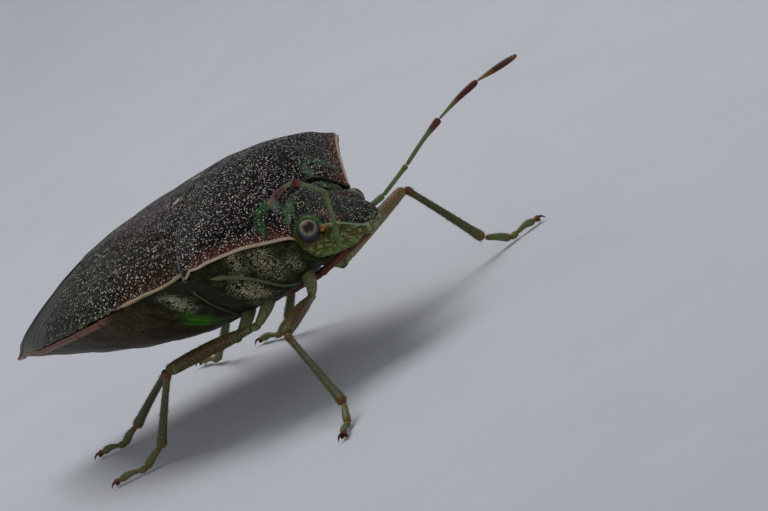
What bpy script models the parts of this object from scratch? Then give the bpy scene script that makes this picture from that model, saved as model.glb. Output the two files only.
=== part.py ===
"""A shield bug, life size, standing on six legs: one closed solid for each named part.

Lengths here are millimetres, and MM turns them to metres as each mesh is made. The body
frame has +X to the front, +Y to the bug's left and +Z up. Its origin lies midway between
the shoulder angles, at the height of the body's edge, until the last step sets the feet
on z = 0 and centres the footprint.
"""
import math

import bmesh
import bpy
from mathutils import Matrix, Vector

MM = 0.001
GAP = 0.27
PLATE = 0.5
EDGE_THICKNESS = 0.22
TAIL_EDGE_THICKNESS = 0.10
FLOOR = -5.0
FOOT_CENTRE = -4.83

COLLAR_X = 1.30
FRONT_CORNER = (1.60, 1.55)
SHOULDER = (0.10, 4.10)
PRONOTUM_HIND_X = -1.10
SCUTELLUM_BASE_X = PRONOTUM_HIND_X - GAP
SCUTELLUM_TIP_X = -6.45
CORIUM_SHOULDER_X = -0.62
CORIUM_INNER_END = (-5.55, 1.08)
CORIUM_OUTER_END = (-6.85, 2.50)
MEMBRANE_TIP_X = -10.37
ABDOMEN_TIP_X = -9.85
BREAST_SEAM_X = -2.15
RING_ENDS = [-3.45, -4.55, -5.70, -6.85, -7.90, -8.85]

HEAD_ROLL = math.radians(-6)
HEAD_ROLL_AXIS = (0.0, -0.70, -0.83)
EYE_CENTRE = (1.97, 1.14, -0.83)
EYE_RADIUS = 0.33
OCELLUS = (1.81, 0.67, -0.25)
OCELLUS_RADIUS = 0.13
SOCKET_ROOT = (2.35, 0.50, -1.30)

LEG_SIDES = 10
FOOT_SIDES = 8
ANTENNA_SIDES = 8

# The body's shape, read along X: height of the back on the middle line, height of the sharp
# side edge, half width at that edge, half width of the closed wings, height of the underside
# on the middle line, and how full the underside's cross section is.
BACK = [(-10.4, -1.38), (-8.5, -0.44), (-6.5, 0.38), (-4.5, 0.86), (-2.5, 1.19),
        (-0.6, 1.39), (0.4, 1.06), (1.15, 0.36), (1.6, -0.10)]
EDGE = [(-10.4, -1.40), (-8.5, -1.05), (-6.0, -0.60), (-3.0, -0.22), (0.0, 0.03),
        (0.4, -0.03), (0.85, -0.20), (1.6, -0.70)]
HALF_WIDTH = [(-9.85, 0.30), (-9.55, 0.82), (-9.0, 1.38), (-8.0, 2.16), (-7.0, 2.80),
              (-5.5, 3.46), (-4.0, 3.76), (-2.5, 3.80), (-1.0, 3.84), (-0.1, 4.05), SHOULDER]
WING_HALF_WIDTH = [(-10.37, 0.12), (-10.2, 0.45), (-9.6, 0.92), (-8.8, 1.42), (-8.0, 1.88),
                   (-7.0, 2.42), (-5.5, 3.06), (-4.0, 3.38), (-2.5, 3.52), (-0.6, 3.70)]
BELLY = [(-9.85, -1.34), (-9.3, -1.38), (-8.5, -1.54), (-7.2, -1.92), (-5.6, -2.38),
         (-4.4, -2.58), (-3.2, -2.70), (-2.4, -2.66), (-1.5, -2.45), (-0.3, -2.32),
         (0.45, -2.15), (1.4, -1.80)]
BELLY_FULLNESS = [(-10.0, 2.0), (-2.6, 1.85), (-1.0, 1.35), (0.0, 1.15), (1.4, 1.4)]
BREAST_GROOVE = [(-2.6, 0.0), (-1.9, 0.30), (-1.0, 0.36), (0.4, 0.34), (1.4, 0.25)]
BACK_FULLNESS = 2.2
SCUTELLUM_HALF_WIDTH = [(-6.45, 0.12), (-6.36, 0.36), (-6.1, 0.55), (-5.4, 0.78),
                        (-4.4, 1.02), (-3.2, 1.50), (-1.4, 2.32)]

HEAD_HALF_WIDTH = [(3.42, 0.14), (3.38, 0.33), (3.25, 0.52), (3.0, 0.68), (2.65, 0.78),
                   (2.35, 0.84), (1.9, 0.92), (1.6, 0.86)]
HEAD_EDGE = [(1.6, -0.75), (2.0, -0.78), (2.5, -0.84), (3.0, -1.05), (3.42, -1.36)]
HEAD_UNDER = [(1.6, -1.72), (2.0, -1.86), (2.6, -1.88), (3.0, -1.76), (3.25, -1.60),
              (3.42, -1.46)]
HEAD_LOBE = [(1.9, 0.16), (2.5, 0.24), (3.2, 0.26), (3.42, 0.1)]

# Hip, outer end of the hip piece, knee, ankle and toe of each leg.
LEG_JOINTS = {
    "front_right": [(0.60, -0.95, -2.22), (1.10, -1.30, -2.50), (2.00, -4.00, -2.37),
                    (3.57, -5.21, -4.50), (4.26, -6.62, FOOT_CENTRE)],
    "front_left": [(0.60, 0.95, -2.22), (0.66, 1.36, -2.74), (1.50, 3.65, -1.99),
                   (2.04, 4.82, -4.43), (2.70, 6.19, FOOT_CENTRE)],
    "middle_right": [(-0.45, -1.10, -2.52), (-0.85, -1.55, -2.85), (-2.60, -3.80, -2.42),
                     (-4.75, -3.17, -4.50), (-6.20, -3.68, FOOT_CENTRE)],
    "middle_left": [(-0.45, 1.10, -2.52), (-0.80, 1.62, -2.85), (-2.75, 3.75, -2.30),
                    (-5.00, 4.15, -4.48), (-6.45, 4.50, FOOT_CENTRE)],
    "hind_right": [(-1.35, -1.15, -2.70), (-1.90, -1.62, -3.02), (-4.95, -1.20, -3.12),
                   (-7.65, -0.45, -4.52), (-9.05, -0.60, FOOT_CENTRE)],
    "hind_left": [(-1.35, 1.15, -2.70), (-1.88, 1.66, -3.02), (-4.75, 2.90, -2.35),
                  (-7.35, 3.90, -4.50), (-8.75, 4.45, FOOT_CENTRE)],
}

# Joints of each feeler from its socket to its tip, for the left side (1) and the right (-1).
ANTENNA_JOINTS = {
    1: [(2.50, 0.98, -1.38), (2.85, 1.24, -1.30), (3.65, 1.77, -0.88), (4.74, 2.64, -0.23),
        (5.80, 3.55, 0.14), (6.80, 4.32, 0.21)],
    -1: [(2.62, -1.05, -1.36), (3.03, -1.24, -0.86), (3.50, -1.52, 0.15), (3.66, -2.83, 1.03),
         (4.25, -4.24, 1.20), (5.07, -5.37, 1.42)],
}

# Part of the length and radius there, for each kind of limb segment.
FEMUR = [(0.0, 0.22), (0.12, 0.27), (0.4, 0.27), (0.7, 0.25), (0.9, 0.25), (1.0, 0.22)]
TIBIA = [(0.0, 0.22), (0.12, 0.25), (0.5, 0.25), (0.88, 0.27), (1.0, 0.22)]
TARSUS = [(0.0, 0.2), (0.16, 0.25), (0.34, 0.25), (0.41, 0.19), (0.48, 0.25), (0.58, 0.25),
          (0.65, 0.19), (0.74, 0.25), (0.92, 0.25), (1.0, 0.12)]
CLAW = [(0.0, 0.09), (0.22, 0.08), (0.42, 0.06), (0.56, 0.025)]
FEELER = [(0.0, 0.18), (0.12, 0.25), (0.88, 0.25), (1.0, 0.2)]
FEELER_TIP = [(0.0, 0.18), (0.12, 0.25), (0.6, 0.25), (0.88, 0.19), (1.0, 0.08)]

# Middle line and radius of the beak's two lengths, which lie on the body's middle plane.
ROSTRUM_BASE = [(2.86, -1.72, 0.16), (2.5, -1.86, 0.22), (2.0, -1.94, 0.22), (1.5, -2.05, 0.22),
                (1.0, -2.22, 0.22), (0.66, -2.38, 0.2)]
ROSTRUM_TIP = [(0.38, -2.48, 0.2), (0.0, -2.55, 0.22), (-0.6, -2.60, 0.2), (-1.2, -2.63, 0.16),
               (-1.6, -2.64, 0.07)]

# Colour and roughness of each kind of part.
CUTICLE = {
    "pronotum": ("35281f", 0.42),
    "scutellum": ("31281f", 0.42),
    "corium": ("33291f", 0.42),
    "membrane": ("3c362f", 0.30),
    "prothorax": ("39412b", 0.45),
    "pterothorax": ("353d28", 0.45),
    "abdomen": ("4c4228", 0.48),
    "head": ("35362a", 0.42),
    "eye": ("6a6258", 0.25),
    "coxa": ("6f8a4a", 0.45),
    "femur": ("5c4428", 0.45),
    "tibia": ("4f6134", 0.45),
    "tarsus": ("5a6232", 0.45),
    "rostrum": ("7a3c2a", 0.40),
    "antenna_green": ("55702f", 0.45),
    "antenna_red": ("74382a", 0.45),
}


def clear_scene():
    """Start from an empty scene."""
    for item in list(bpy.data.objects):
        bpy.data.objects.remove(item, do_unlink=True)


def srgb(code):
    """Linear colour of a hex code such as 8a4a2c."""
    channels = [int(code[i:i + 2], 16) / 255 for i in (0, 2, 4)]
    linear = [c / 12.92 if c <= 0.04045 else ((c + 0.055) / 1.055) ** 2.4 for c in channels]
    return (*linear, 1.0)


def cuticle(kind):
    """Hard insect cuticle in the colour of one kind of part, made when first asked for."""
    name = kind + "_cuticle"
    material = bpy.data.materials.get(name)
    if material is None:
        code, roughness = CUTICLE[kind]
        material = bpy.data.materials.new(name)
        material.use_nodes = True
        shader = material.node_tree.nodes["Principled BSDF"]
        shader.inputs["Base Color"].default_value = srgb(code)
        shader.inputs["Roughness"].default_value = roughness
        shader.inputs["Metallic"].default_value = 0.0
    return material


def curve_through(stations, at):
    """Smooth value at one place on a curve through (place, value) stations."""
    points = sorted(stations)
    if at <= points[0][0]:
        return points[0][1]
    if at >= points[-1][0]:
        return points[-1][1]
    i = max(k for k in range(len(points) - 1) if points[k][0] <= at)
    (x0, v0), (x1, v1) = points[i], points[i + 1]

    def slope(k):
        low, high = points[max(k - 1, 0)], points[min(k + 1, len(points) - 1)]
        return (high[1] - low[1]) / (high[0] - low[0])

    span = x1 - x0
    t = (at - x0) / span
    return ((2 * t ** 3 - 3 * t ** 2 + 1) * v0 + (t ** 3 - 2 * t ** 2 + t) * span * slope(i)
            + (3 * t ** 2 - 2 * t ** 3) * v1 + (t ** 3 - t ** 2) * span * slope(i + 1))


def bump(distance, width):
    """Round rise of height 1 at distance 0 that fades over the width."""
    return math.exp(-(distance / width) ** 2)


def ramp(value, start, length):
    """Part from 0 to 1 of the way that a value has gone past a start."""
    return min(max((value - start) / length, 0.0), 1.0)


def spread(count, crowding=1.0):
    """Places from -1 to 1, crowded towards both ends."""
    limit = math.sin(math.pi / 2 * crowding)
    return [math.sin(math.pi / 2 * crowding * (2 * j / count - 1)) / limit for j in range(count + 1)]


def blend(a, b, t):
    """Plan point part of the way from a to b."""
    return (a[0] + (b[0] - a[0]) * t, a[1] + (b[1] - a[1]) * t)


def half_width(x):
    """Half width of the body at its side edge, pronotum included."""
    if x <= SHOULDER[0]:
        return curve_through(HALF_WIDTH, x)
    along = (FRONT_CORNER[0] - x) / (FRONT_CORNER[0] - SHOULDER[0])
    return FRONT_CORNER[1] + (SHOULDER[1] - FRONT_CORNER[1]) * max(along, 0.0) ** 1.05


def wing_half_width(x):
    """Half width of the closed wings."""
    return curve_through(WING_HALF_WIDTH, x)


def edge_height(x):
    """Height of the body's side edge."""
    return curve_through(EDGE, x)


def back_height(x, y):
    """Height of the domed back over the whole body behind the head."""
    edge = edge_height(x)
    across = min(abs(y) / half_width(x), 1.0)
    return edge + (curve_through(BACK, x) - edge) * (1 - across ** BACK_FULLNESS)


def under_plate(x, y):
    """Underside of the wings and the scutellum, which thin out towards the wing tips."""
    return back_height(x, y) - PLATE + 0.36 * ramp(-x, 7.0, 2.8)


def belly_height(x, y):
    """Underside of the body, with a groove along the middle of the breast for the beak."""
    thickness = EDGE_THICKNESS + (TAIL_EDGE_THICKNESS - EDGE_THICKNESS) * ramp(-x, 8.0, 2.0)
    rim = edge_height(x) - thickness
    across = min(abs(y) / half_width(x), 1.0)
    depth = (rim - curve_through(BELLY, x)) * (1 - across ** curve_through(BELLY_FULLNESS, x))
    return rim - depth + curve_through(BREAST_GROOVE, x) * bump(y, 0.45)


def finish_mesh(name, mesh, kind):
    """Put a mesh in the scene as one node, faces outward, smooth where it is round."""
    face_outward(mesh)
    mesh.materials.clear()
    mesh.materials.append(cuticle(kind))
    mesh.shade_smooth()
    mesh.set_sharp_from_angle(angle=math.radians(40))
    node = bpy.data.objects.new(name, mesh)
    bpy.context.scene.collection.objects.link(node)
    return node


def face_outward(mesh):
    """Turn all faces of a closed mesh outward."""
    shape = bmesh.new()
    shape.from_mesh(mesh)
    bmesh.ops.recalc_face_normals(shape, faces=shape.faces)
    shape.to_mesh(mesh)
    shape.free()


def new_mesh(name, points, faces):
    """Mesh from points in millimetres."""
    mesh = bpy.data.meshes.new(name)
    mesh.from_pydata([Vector(p) * MM for p in points], [], faces)
    return mesh


def slab_mesh(name, plan, top, bottom, relief=None):
    """Closed solid over a grid of plan points, split into triangles alike on both faces.

    The relief, if any, is a height for each column that is added to the upper face.
    """
    rows, columns = len(plan), len(plan[0])
    flat = [p for row in plan for p in row]
    relief = relief or [0.0] * columns
    points = [(x, y, top(x, y) + relief[k % columns]) for k, (x, y) in enumerate(flat)]
    points += [(x, y, bottom(x, y)) for x, y in flat]
    below = rows * columns

    def at(i, j):
        return i * columns + j

    faces = []
    for i in range(rows - 1):
        for j in range(columns - 1):
            a, b, c, d = at(i, j), at(i, j + 1), at(i + 1, j + 1), at(i + 1, j)
            cuts = [(a, b, c), (a, c, d)] if (i + j) % 2 else [(a, b, d), (b, c, d)]
            for face in cuts:
                faces.append(face)
                faces.append(tuple(below + k for k in reversed(face)))
    rim = [at(0, j) for j in range(columns)]
    rim += [at(i, columns - 1) for i in range(1, rows)]
    rim += [at(rows - 1, j) for j in range(columns - 2, -1, -1)]
    rim += [at(i, 0) for i in range(rows - 2, 0, -1)]
    for here, after in zip(rim, rim[1:] + rim[:1]):
        faces.append((after, here, below + here))
        faces.append((after, below + here, below + after))
    return new_mesh(name, points, faces)


def tube_mesh(name, path, radii, sides, start_normal=None, end_normal=None, floor=None):
    """Closed round limb along a path, its end faces square to the given normals."""
    path = [Vector(p) for p in path]
    side = (path[1] - path[0]).cross(Vector((0, 0, 1))).normalized()
    points = []
    for i, centre in enumerate(path):
        along = (path[min(i + 1, len(path) - 1)] - path[max(i - 1, 0)]).normalized()
        side = (side - along * side.dot(along)).normalized()
        up = side.cross(along)
        normal = start_normal if i == 0 else end_normal if i == len(path) - 1 else None
        for k in range(sides):
            turn = 2 * math.pi * k / sides
            point = centre + (side * math.cos(turn) + up * math.sin(turn)) * radii[i]
            if normal is not None:
                point += along * ((centre - point).dot(normal) / along.dot(normal))
            if floor is not None:
                point.z = max(point.z, floor)
            points.append(point)
    faces = [tuple(range(sides)), tuple(range(len(points) - 1, len(points) - sides - 1, -1))]
    for i in range(len(path) - 1):
        for k in range(sides):
            a, b = i * sides + k, i * sides + (k + 1) % sides
            faces.append((a, b, b + sides, a + sides))
    return new_mesh(name, points, faces)


def ball_mesh(name, centre, radius):
    """Closed ball."""
    shape = bmesh.new()
    place = Matrix.Translation(Vector(centre) * MM) @ Matrix.Scale(radius * MM, 4)
    bmesh.ops.create_uvsphere(shape, u_segments=16, v_segments=9, radius=1.0, matrix=place)
    mesh = bpy.data.meshes.new(name)
    shape.to_mesh(mesh)
    shape.free()
    return mesh


def boolean(name, base, others, operation):
    """Mesh of a base joined with, or cut by, other meshes, keeping the largest closed surface."""
    group = bpy.data.collections.new(name + "_pieces")
    bpy.context.scene.collection.children.link(group)
    pieces = []
    for mesh in [base] + others:
        face_outward(mesh)
        pieces.append(bpy.data.objects.new(mesh.name, mesh))
    for piece in pieces[1:]:
        group.objects.link(piece)
    bpy.context.scene.collection.objects.link(pieces[0])
    modifier = pieces[0].modifiers.new("join", "BOOLEAN")
    modifier.operation = operation
    modifier.operand_type = "COLLECTION"
    modifier.collection = group
    modifier.solver = "EXACT"
    scene_state = bpy.context.evaluated_depsgraph_get()
    result = bpy.data.meshes.new_from_object(pieces[0].evaluated_get(scene_state))
    for piece in pieces:
        bpy.data.objects.remove(piece, do_unlink=True)
    bpy.data.collections.remove(group)
    keep_largest(result)
    return result


def keep_largest(mesh):
    """Leave only the largest closed surface of a mesh."""
    shape = bmesh.new()
    shape.from_mesh(mesh)
    bmesh.ops.remove_doubles(shape, verts=shape.verts, dist=0.002 * MM)
    surfaces = []
    waiting = set(shape.verts)
    while waiting:
        surface = set()
        border = [waiting.pop()]
        while border:
            vertex = border.pop()
            surface.add(vertex)
            for edge in vertex.link_edges:
                other = edge.other_vert(vertex)
                if other in waiting:
                    waiting.discard(other)
                    border.append(other)
        surfaces.append(surface)
    surfaces.sort(key=len, reverse=True)
    for surface in surfaces[1:]:
        bmesh.ops.delete(shape, geom=list(surface), context="VERTS")
    bmesh.ops.triangulate(shape, faces=shape.faces)
    shape.to_mesh(mesh)
    shape.free()


def pronotum_front_edge(y):
    """X of the pronotum's front edge: hollowed for the head, then slanting to the shoulders."""
    reach = abs(y)
    if reach <= FRONT_CORNER[1]:
        return COLLAR_X + (FRONT_CORNER[0] - COLLAR_X) * (reach / FRONT_CORNER[1]) ** 3
    out = min((reach - FRONT_CORNER[1]) / (SHOULDER[1] - FRONT_CORNER[1]), 1.0)
    return FRONT_CORNER[0] - (FRONT_CORNER[0] - SHOULDER[0]) * out ** 0.95


def pronotum_hind_edge(y):
    """X of the pronotum's hind edge, which runs forward to the shoulders."""
    return PRONOTUM_HIND_X + 1.05 * min(abs(y) / SHOULDER[1], 1.0) ** 2.8


def pronotum():
    """Domed shield over the fore body, with a raised pad behind each eye."""
    plan = []
    for step in (0.0, 0.06, 0.2, 0.38, 0.56, 0.74, 0.93, 1.0):
        row = []
        for across in spread(24, crowding=0.94):
            y = SHOULDER[1] * across
            start, end = pronotum_front_edge(y), pronotum_hind_edge(y)
            row.append((start + (end - start) * step, y))
        plan.append(row)

    def top(x, y):
        hind_bevel = 0.07 * bump(x - pronotum_hind_edge(y), 0.1)
        pad = 0.06 * bump(math.hypot(x - 0.98, abs(y) - 1.35), 0.4)
        return back_height(x, y) - hind_bevel + pad

    def bottom(x, y):
        return min(edge_height(x) - EDGE_THICKNESS, top(x, y) - 0.15)

    return finish_mesh("pronotum", slab_mesh("pronotum", plan, top, bottom), "pronotum")


def scutellum_half_width(x):
    """Half width of the scutellum, a long triangle with a rounded tongue."""
    return curve_through(SCUTELLUM_HALF_WIDTH, x)


def scutellum():
    """Long triangular plate whose base follows the pronotum's hind edge."""
    plan = []
    for x in (SCUTELLUM_BASE_X, -1.5, -1.9, -2.5, -3.2, -3.8, -4.4, -5.0, -5.6, -6.1, -6.36,
              SCUTELLUM_TIP_X):
        near_base = 1 - ramp(SCUTELLUM_BASE_X - x, 0.0, 1.2)
        row = []
        for across in spread(12):
            y = scutellum_half_width(x) * across
            forward = pronotum_hind_edge(y) - PRONOTUM_HIND_X
            row.append((x + forward * near_base, y))
        plan.append(row)

    def top(x, y):
        rim_bevel = 0.07 * bump(scutellum_half_width(x) - abs(y), 0.12)
        base_bevel = 0.05 * bump(x - pronotum_hind_edge(y) + GAP, 0.1)
        return back_height(x, y) + 0.03 - rim_bevel - base_bevel

    return finish_mesh("scutellum", slab_mesh("scutellum", plan, top, under_plate), "scutellum")


def corium(side):
    """Leathery fore part of one wing, with a groove and two veins that run along it."""
    rows, columns = 12, 10
    plan = []
    for i in range(rows + 1):
        along = i / rows
        inner_x = SCUTELLUM_BASE_X + (CORIUM_INNER_END[0] - SCUTELLUM_BASE_X) * along
        inner = (inner_x, scutellum_half_width(inner_x) + GAP * 1.12)
        outer_x = CORIUM_SHOULDER_X + (CORIUM_OUTER_END[0] - CORIUM_SHOULDER_X) * along
        outer = (outer_x, wing_half_width(outer_x))
        row = []
        for j in range(columns + 1):
            x, y = blend(inner, outer, j / columns)
            to_collar = (pronotum_hind_edge(y) - GAP - x) * (1 - along) ** 6
            row.append((x + to_collar, y * side))
        plan.append(row)
    relief = [0.0] * (columns + 1)
    relief[3] = -0.07
    relief[6] = 0.05
    relief[8] = 0.04
    name = "corium_left" if side > 0 else "corium_right"
    return finish_mesh(name, slab_mesh(name, plan, back_height, under_plate, relief), "corium")


def membrane_front(t):
    """Front edge of a membrane: round the scutellum's tip, then along the corium's end."""
    turn = 0.34
    corner_cut = 0.18
    inner_corner = (CORIUM_INNER_END[0] - 0.34, CORIUM_INNER_END[1] - 0.02)
    outer_corner = (CORIUM_OUTER_END[0] - 0.34, CORIUM_OUTER_END[1] - 0.22)
    if t > turn:
        return blend(inner_corner, outer_corner, (t - turn) / (1 - turn))
    angle = math.pi / 2 * (1 - (1 - corner_cut) * t / turn)
    tip = SCUTELLUM_TIP_X - 0.3
    x = inner_corner[0] + (tip - inner_corner[0]) * math.sin(angle)
    return (x, inner_corner[1] * math.cos(angle))


def membrane_rear(t):
    """Hind edge of the wings: beyond the middle for t < 0, round the tip, to the side at 1."""
    x = MEMBRANE_TIP_X + (CORIUM_OUTER_END[0] - 0.5 - MEMBRANE_TIP_X) * abs(t) ** 2.2
    return (x, math.copysign(wing_half_width(x), t))


def membrane(side, over):
    """Thin hind part of one wing with raised veins; the upper one laps over the middle."""
    rows, veins, per_vein = 7, 6, 3
    columns = veins * per_vein
    first = -0.3 if over else 0.40
    lap = -0.35 if over else 0.39
    plan = []
    for i in range(rows + 1):
        along = i / rows
        row = []
        for j in range(columns + 1):
            across = j / columns
            x, y = blend(membrane_front(across), membrane_rear(first + (1 - first) * across), along)
            seam = GAP / 2 * (1 - along) + lap * math.sin(math.pi * along)
            row.append((x, (y + seam * (1 - across) ** 2) * side))
        plan.append(row)
    relief = [0.06 if j % per_vein == 1 else -0.01 for j in range(columns + 1)]

    def top(x, y):
        return back_height(x, y) - 0.05

    def bottom(x, y):
        return under_plate(x, y) - 0.03

    name = "membrane_left" if side > 0 else "membrane_right"
    return finish_mesh(name, slab_mesh(name, plan, top, bottom, relief), "membrane")


def prothorax():
    """Fore breast below the pronotum, which carries the front legs."""
    plan = []
    for x in (1.28, 1.1, 0.9, 0.65, 0.4, 0.17):
        plan.append([(x, (half_width(x) - 0.12) * across) for across in spread(18)])

    def top(x, y):
        return edge_height(x) - EDGE_THICKNESS - GAP

    def bottom(x, y):
        return min(belly_height(x, y), top(x, y) - 0.12)

    return finish_mesh("prothorax", slab_mesh("prothorax", plan, top, bottom), "prothorax")


def hind_breast_edge(across):
    """X of the seam between breast and abdomen, which runs back towards the sides."""
    return BREAST_SEAM_X - 0.5 * abs(across) ** 1.5


def pterothorax():
    """Middle and hind breast, which carries the middle and hind legs and fills the wings' bases."""
    front_x = -0.15
    step_length = 0.1
    before_step = (0.0, 0.4, 0.75, 1.0)
    behind_step = (0.0, 0.2, 0.4, 0.6, 0.8, 1.0)

    def step_x(y):
        return pronotum_hind_edge(y) - GAP

    def plan_row(place):
        row = []
        for across in spread(18):
            y = across * wing_half_width(front_x)
            x = place(y, across)
            row.append((x, across * wing_half_width(x)))
        return row

    def in_front(part):
        return lambda y, across: front_x + (step_x(y) - front_x) * part

    def behind(part):
        def place(y, across):
            start = step_x(y) - step_length
            return start + (hind_breast_edge(across) + GAP / 2 - start) * part
        return place

    plan = [plan_row(in_front(part)) for part in before_step]
    plan += [plan_row(behind(part)) for part in behind_step]

    def top(x, y):
        level = edge_height(x) - EDGE_THICKNESS - GAP
        raised = max(under_plate(x, y) - GAP, level)
        return level + (raised - level) * ramp(step_x(y) - x, 0.0, step_length)

    def bottom(x, y):
        return min(belly_height(x, y), top(x, y) - 0.12)

    return finish_mesh("pterothorax", slab_mesh("pterothorax", plan, top, bottom), "pterothorax")


def ring_step(x):
    """How far through its ring a place on the belly lies, 1 at the ring's hind edge."""
    start = BREAST_SEAM_X
    for end in RING_ENDS:
        if x >= end:
            return min(max((start - x) / (start - end), 0.0), 1.0)
        start = end - 0.1
    return 0.0


def abdomen():
    """Hind body: overlapping rings below, a flat back under the wings, a sharp rim at each side."""
    places = []
    for end in RING_ENDS:
        places += [end, end - 0.1]
    places += [-9.3, -9.6, ABDOMEN_TIP_X]
    plan = []
    for part in (0.0, 0.5):
        row = []
        for across in spread(20):
            start = hind_breast_edge(across) - GAP / 2
            x = start + (-2.98 - start) * part
            row.append((x, across * half_width(x)))
        plan.append(row)
    for x in [-2.98] + places:
        plan.append([(x, across * half_width(x)) for across in spread(20)])

    def top(x, y):
        covered = under_plate(x, y) - GAP
        rise = 1 - ramp(half_width(x) - abs(y), 0.0, 0.42)
        return covered + (edge_height(x) - 0.08 - covered) * rise ** 1.5

    def bottom(x, y):
        across = min(abs(y) / half_width(x), 1.0)
        ring = 0.06 * ring_step(x) * (1 - across ** 6)
        keel = 0.06 * bump(y, 0.3)
        return min(belly_height(x, y) - ring - keel, top(x, y) - 0.12)

    return finish_mesh("abdomen", slab_mesh("abdomen", plan, top, bottom), "abdomen")


def head_top(x, y):
    """Top of the head: sloping forward, with the raised middle lobe between two grooves."""
    middle = OCELLUS[2] + 0.03 - 0.645 * (x - OCELLUS[0])
    across = min(abs(y) / curve_through(HEAD_HALF_WIDTH, x), 1.0)
    height = middle + (curve_through(HEAD_EDGE, x) - middle) * across ** 2.6
    lobe_half = curve_through(HEAD_LOBE, x)
    lobe = 0.04 * bump(y, lobe_half * 0.8) - 0.07 * bump(abs(y) - lobe_half, 0.08)
    return height + lobe * ramp(x, 2.1, 0.4)


def head_bottom(x, y):
    """Underside of the head: steep cheeks, and two low walls beside the beak."""
    edge = curve_through(HEAD_EDGE, x) - 0.12
    across = min(abs(y) / curve_through(HEAD_HALF_WIDTH, x), 1.0)
    height = edge + (curve_through(HEAD_UNDER, x) - edge) * (1 - across ** 3.2)
    channel = curve_through([(1.6, 0.42), (2.9, 0.36), (3.1, 0.0)], x) * bump(y, 0.36)
    wall = 0.08 * bump(abs(y) - 0.52, 0.1) * (1 - ramp(x, 2.7, 0.4))
    return min(height + channel - wall, head_top(x, y) - 0.1)


def head_roll():
    """The head's slight roll about its own length, left side down."""
    axis = Matrix.Translation(Vector(HEAD_ROLL_AXIS) * MM)
    return axis @ Matrix.Rotation(HEAD_ROLL, 4, "X") @ axis.inverted()


def head_ball(name, centre, radius, side):
    """Ball on one side of the head, rolled with it."""
    mesh = ball_mesh(name, (centre[0], centre[1] * side, centre[2]), radius)
    mesh.transform(head_roll())
    return mesh


def antenna_socket(side):
    """Short tube on the cheek that ends square to the feeler's first joint."""
    root = Vector((SOCKET_ROOT[0], SOCKET_ROOT[1] * side, SOCKET_ROOT[2]))
    joint = Vector(ANTENNA_JOINTS[side][0])
    outward = (joint - root).normalized()
    face = joint - outward * (GAP / 2)
    path = [root, root + outward * 0.2, face - outward * 0.08, face]
    return tube_mesh("socket", path, [0.28, 0.28, 0.26, 0.2], LEG_SIDES)


def head():
    """Head with cheeks, middle lobe, simple eyes and antenna sockets, and cups for the eyes."""
    plan = []
    for x in (1.6, 1.68, 1.84, 2.0, 2.16, 2.34, 2.52, 2.7, 2.88, 3.04, 3.2, 3.32, 3.39, 3.42):
        plan.append([(x, curve_through(HEAD_HALF_WIDTH, x) * across) for across in spread(22)])
    base = slab_mesh("head_base", plan, head_top, head_bottom)
    base.transform(head_roll())
    additions = [head_ball("ocellus", OCELLUS, OCELLUS_RADIUS, side) for side in (1, -1)]
    additions += [antenna_socket(side) for side in (1, -1)]
    cups = [head_ball("cup", EYE_CENTRE, EYE_RADIUS + GAP, side) for side in (1, -1)]
    joined = boolean("head", base, additions, "UNION")
    return finish_mesh("head", boolean("head", joined, cups, "DIFFERENCE"), "head")


def eye(side):
    """Compound eye, a bead in the cup at the side of the head."""
    name = "eye_left" if side > 0 else "eye_right"
    return finish_mesh(name, head_ball(name, EYE_CENTRE, EYE_RADIUS, side), "eye")


def rostrum(name, stations):
    """One length of the sucking beak that is laid back along the breast."""
    path = [(x, 0, z) for x, z, radius in stations]
    radii = [radius for x, z, radius in stations]
    return finish_mesh(name, tube_mesh(name, path, radii, ANTENNA_SIDES), "rostrum")


def joint_normal(before, joint, after):
    """Normal of the plane that halves the bend at a joint."""
    entering = (Vector(joint) - Vector(before)).normalized()
    leaving = (Vector(after) - Vector(joint)).normalized()
    return (entering + leaving).normalized()


def limb_span(joints, index):
    """Ends of a segment, half a gap short of its joints, and the normals of its end faces."""
    start, end = Vector(joints[index]), Vector(joints[index + 1])
    along = (end - start).normalized()
    first = joint_normal(joints[index - 1], start, end) if index > 0 else along
    begin = start + along * (GAP / 2 / along.dot(first))
    if index + 2 == len(joints):
        return begin, end, first, along
    last = joint_normal(start, end, joints[index + 2])
    return begin, end - along * (GAP / 2 / along.dot(last)), first, last


def limb_segment(name, joints, index, profile, sides, bow=0.0):
    """Tapered segment between two joints, arched upward by the bow."""
    begin, finish, first, last = limb_span(joints, index)
    along = (finish - begin).normalized()
    lift = Vector((0, 0, 1)) - along * along.z
    path = [begin.lerp(finish, t) + lift * (bow * math.sin(math.pi * t)) for t, _ in profile]
    return tube_mesh(name, path, [radius for _, radius in profile], sides, first, last)


def ring(centre, normal, radius):
    """Points of a circle square to a normal."""
    side = normal.cross(Vector((0, 1, 0))).normalized()
    up = side.cross(normal)
    turns = [2 * math.pi * k / LEG_SIDES for k in range(LEG_SIDES)]
    return [centre + (side * math.cos(turn) + up * math.sin(turn)) * radius for turn in turns]


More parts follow.
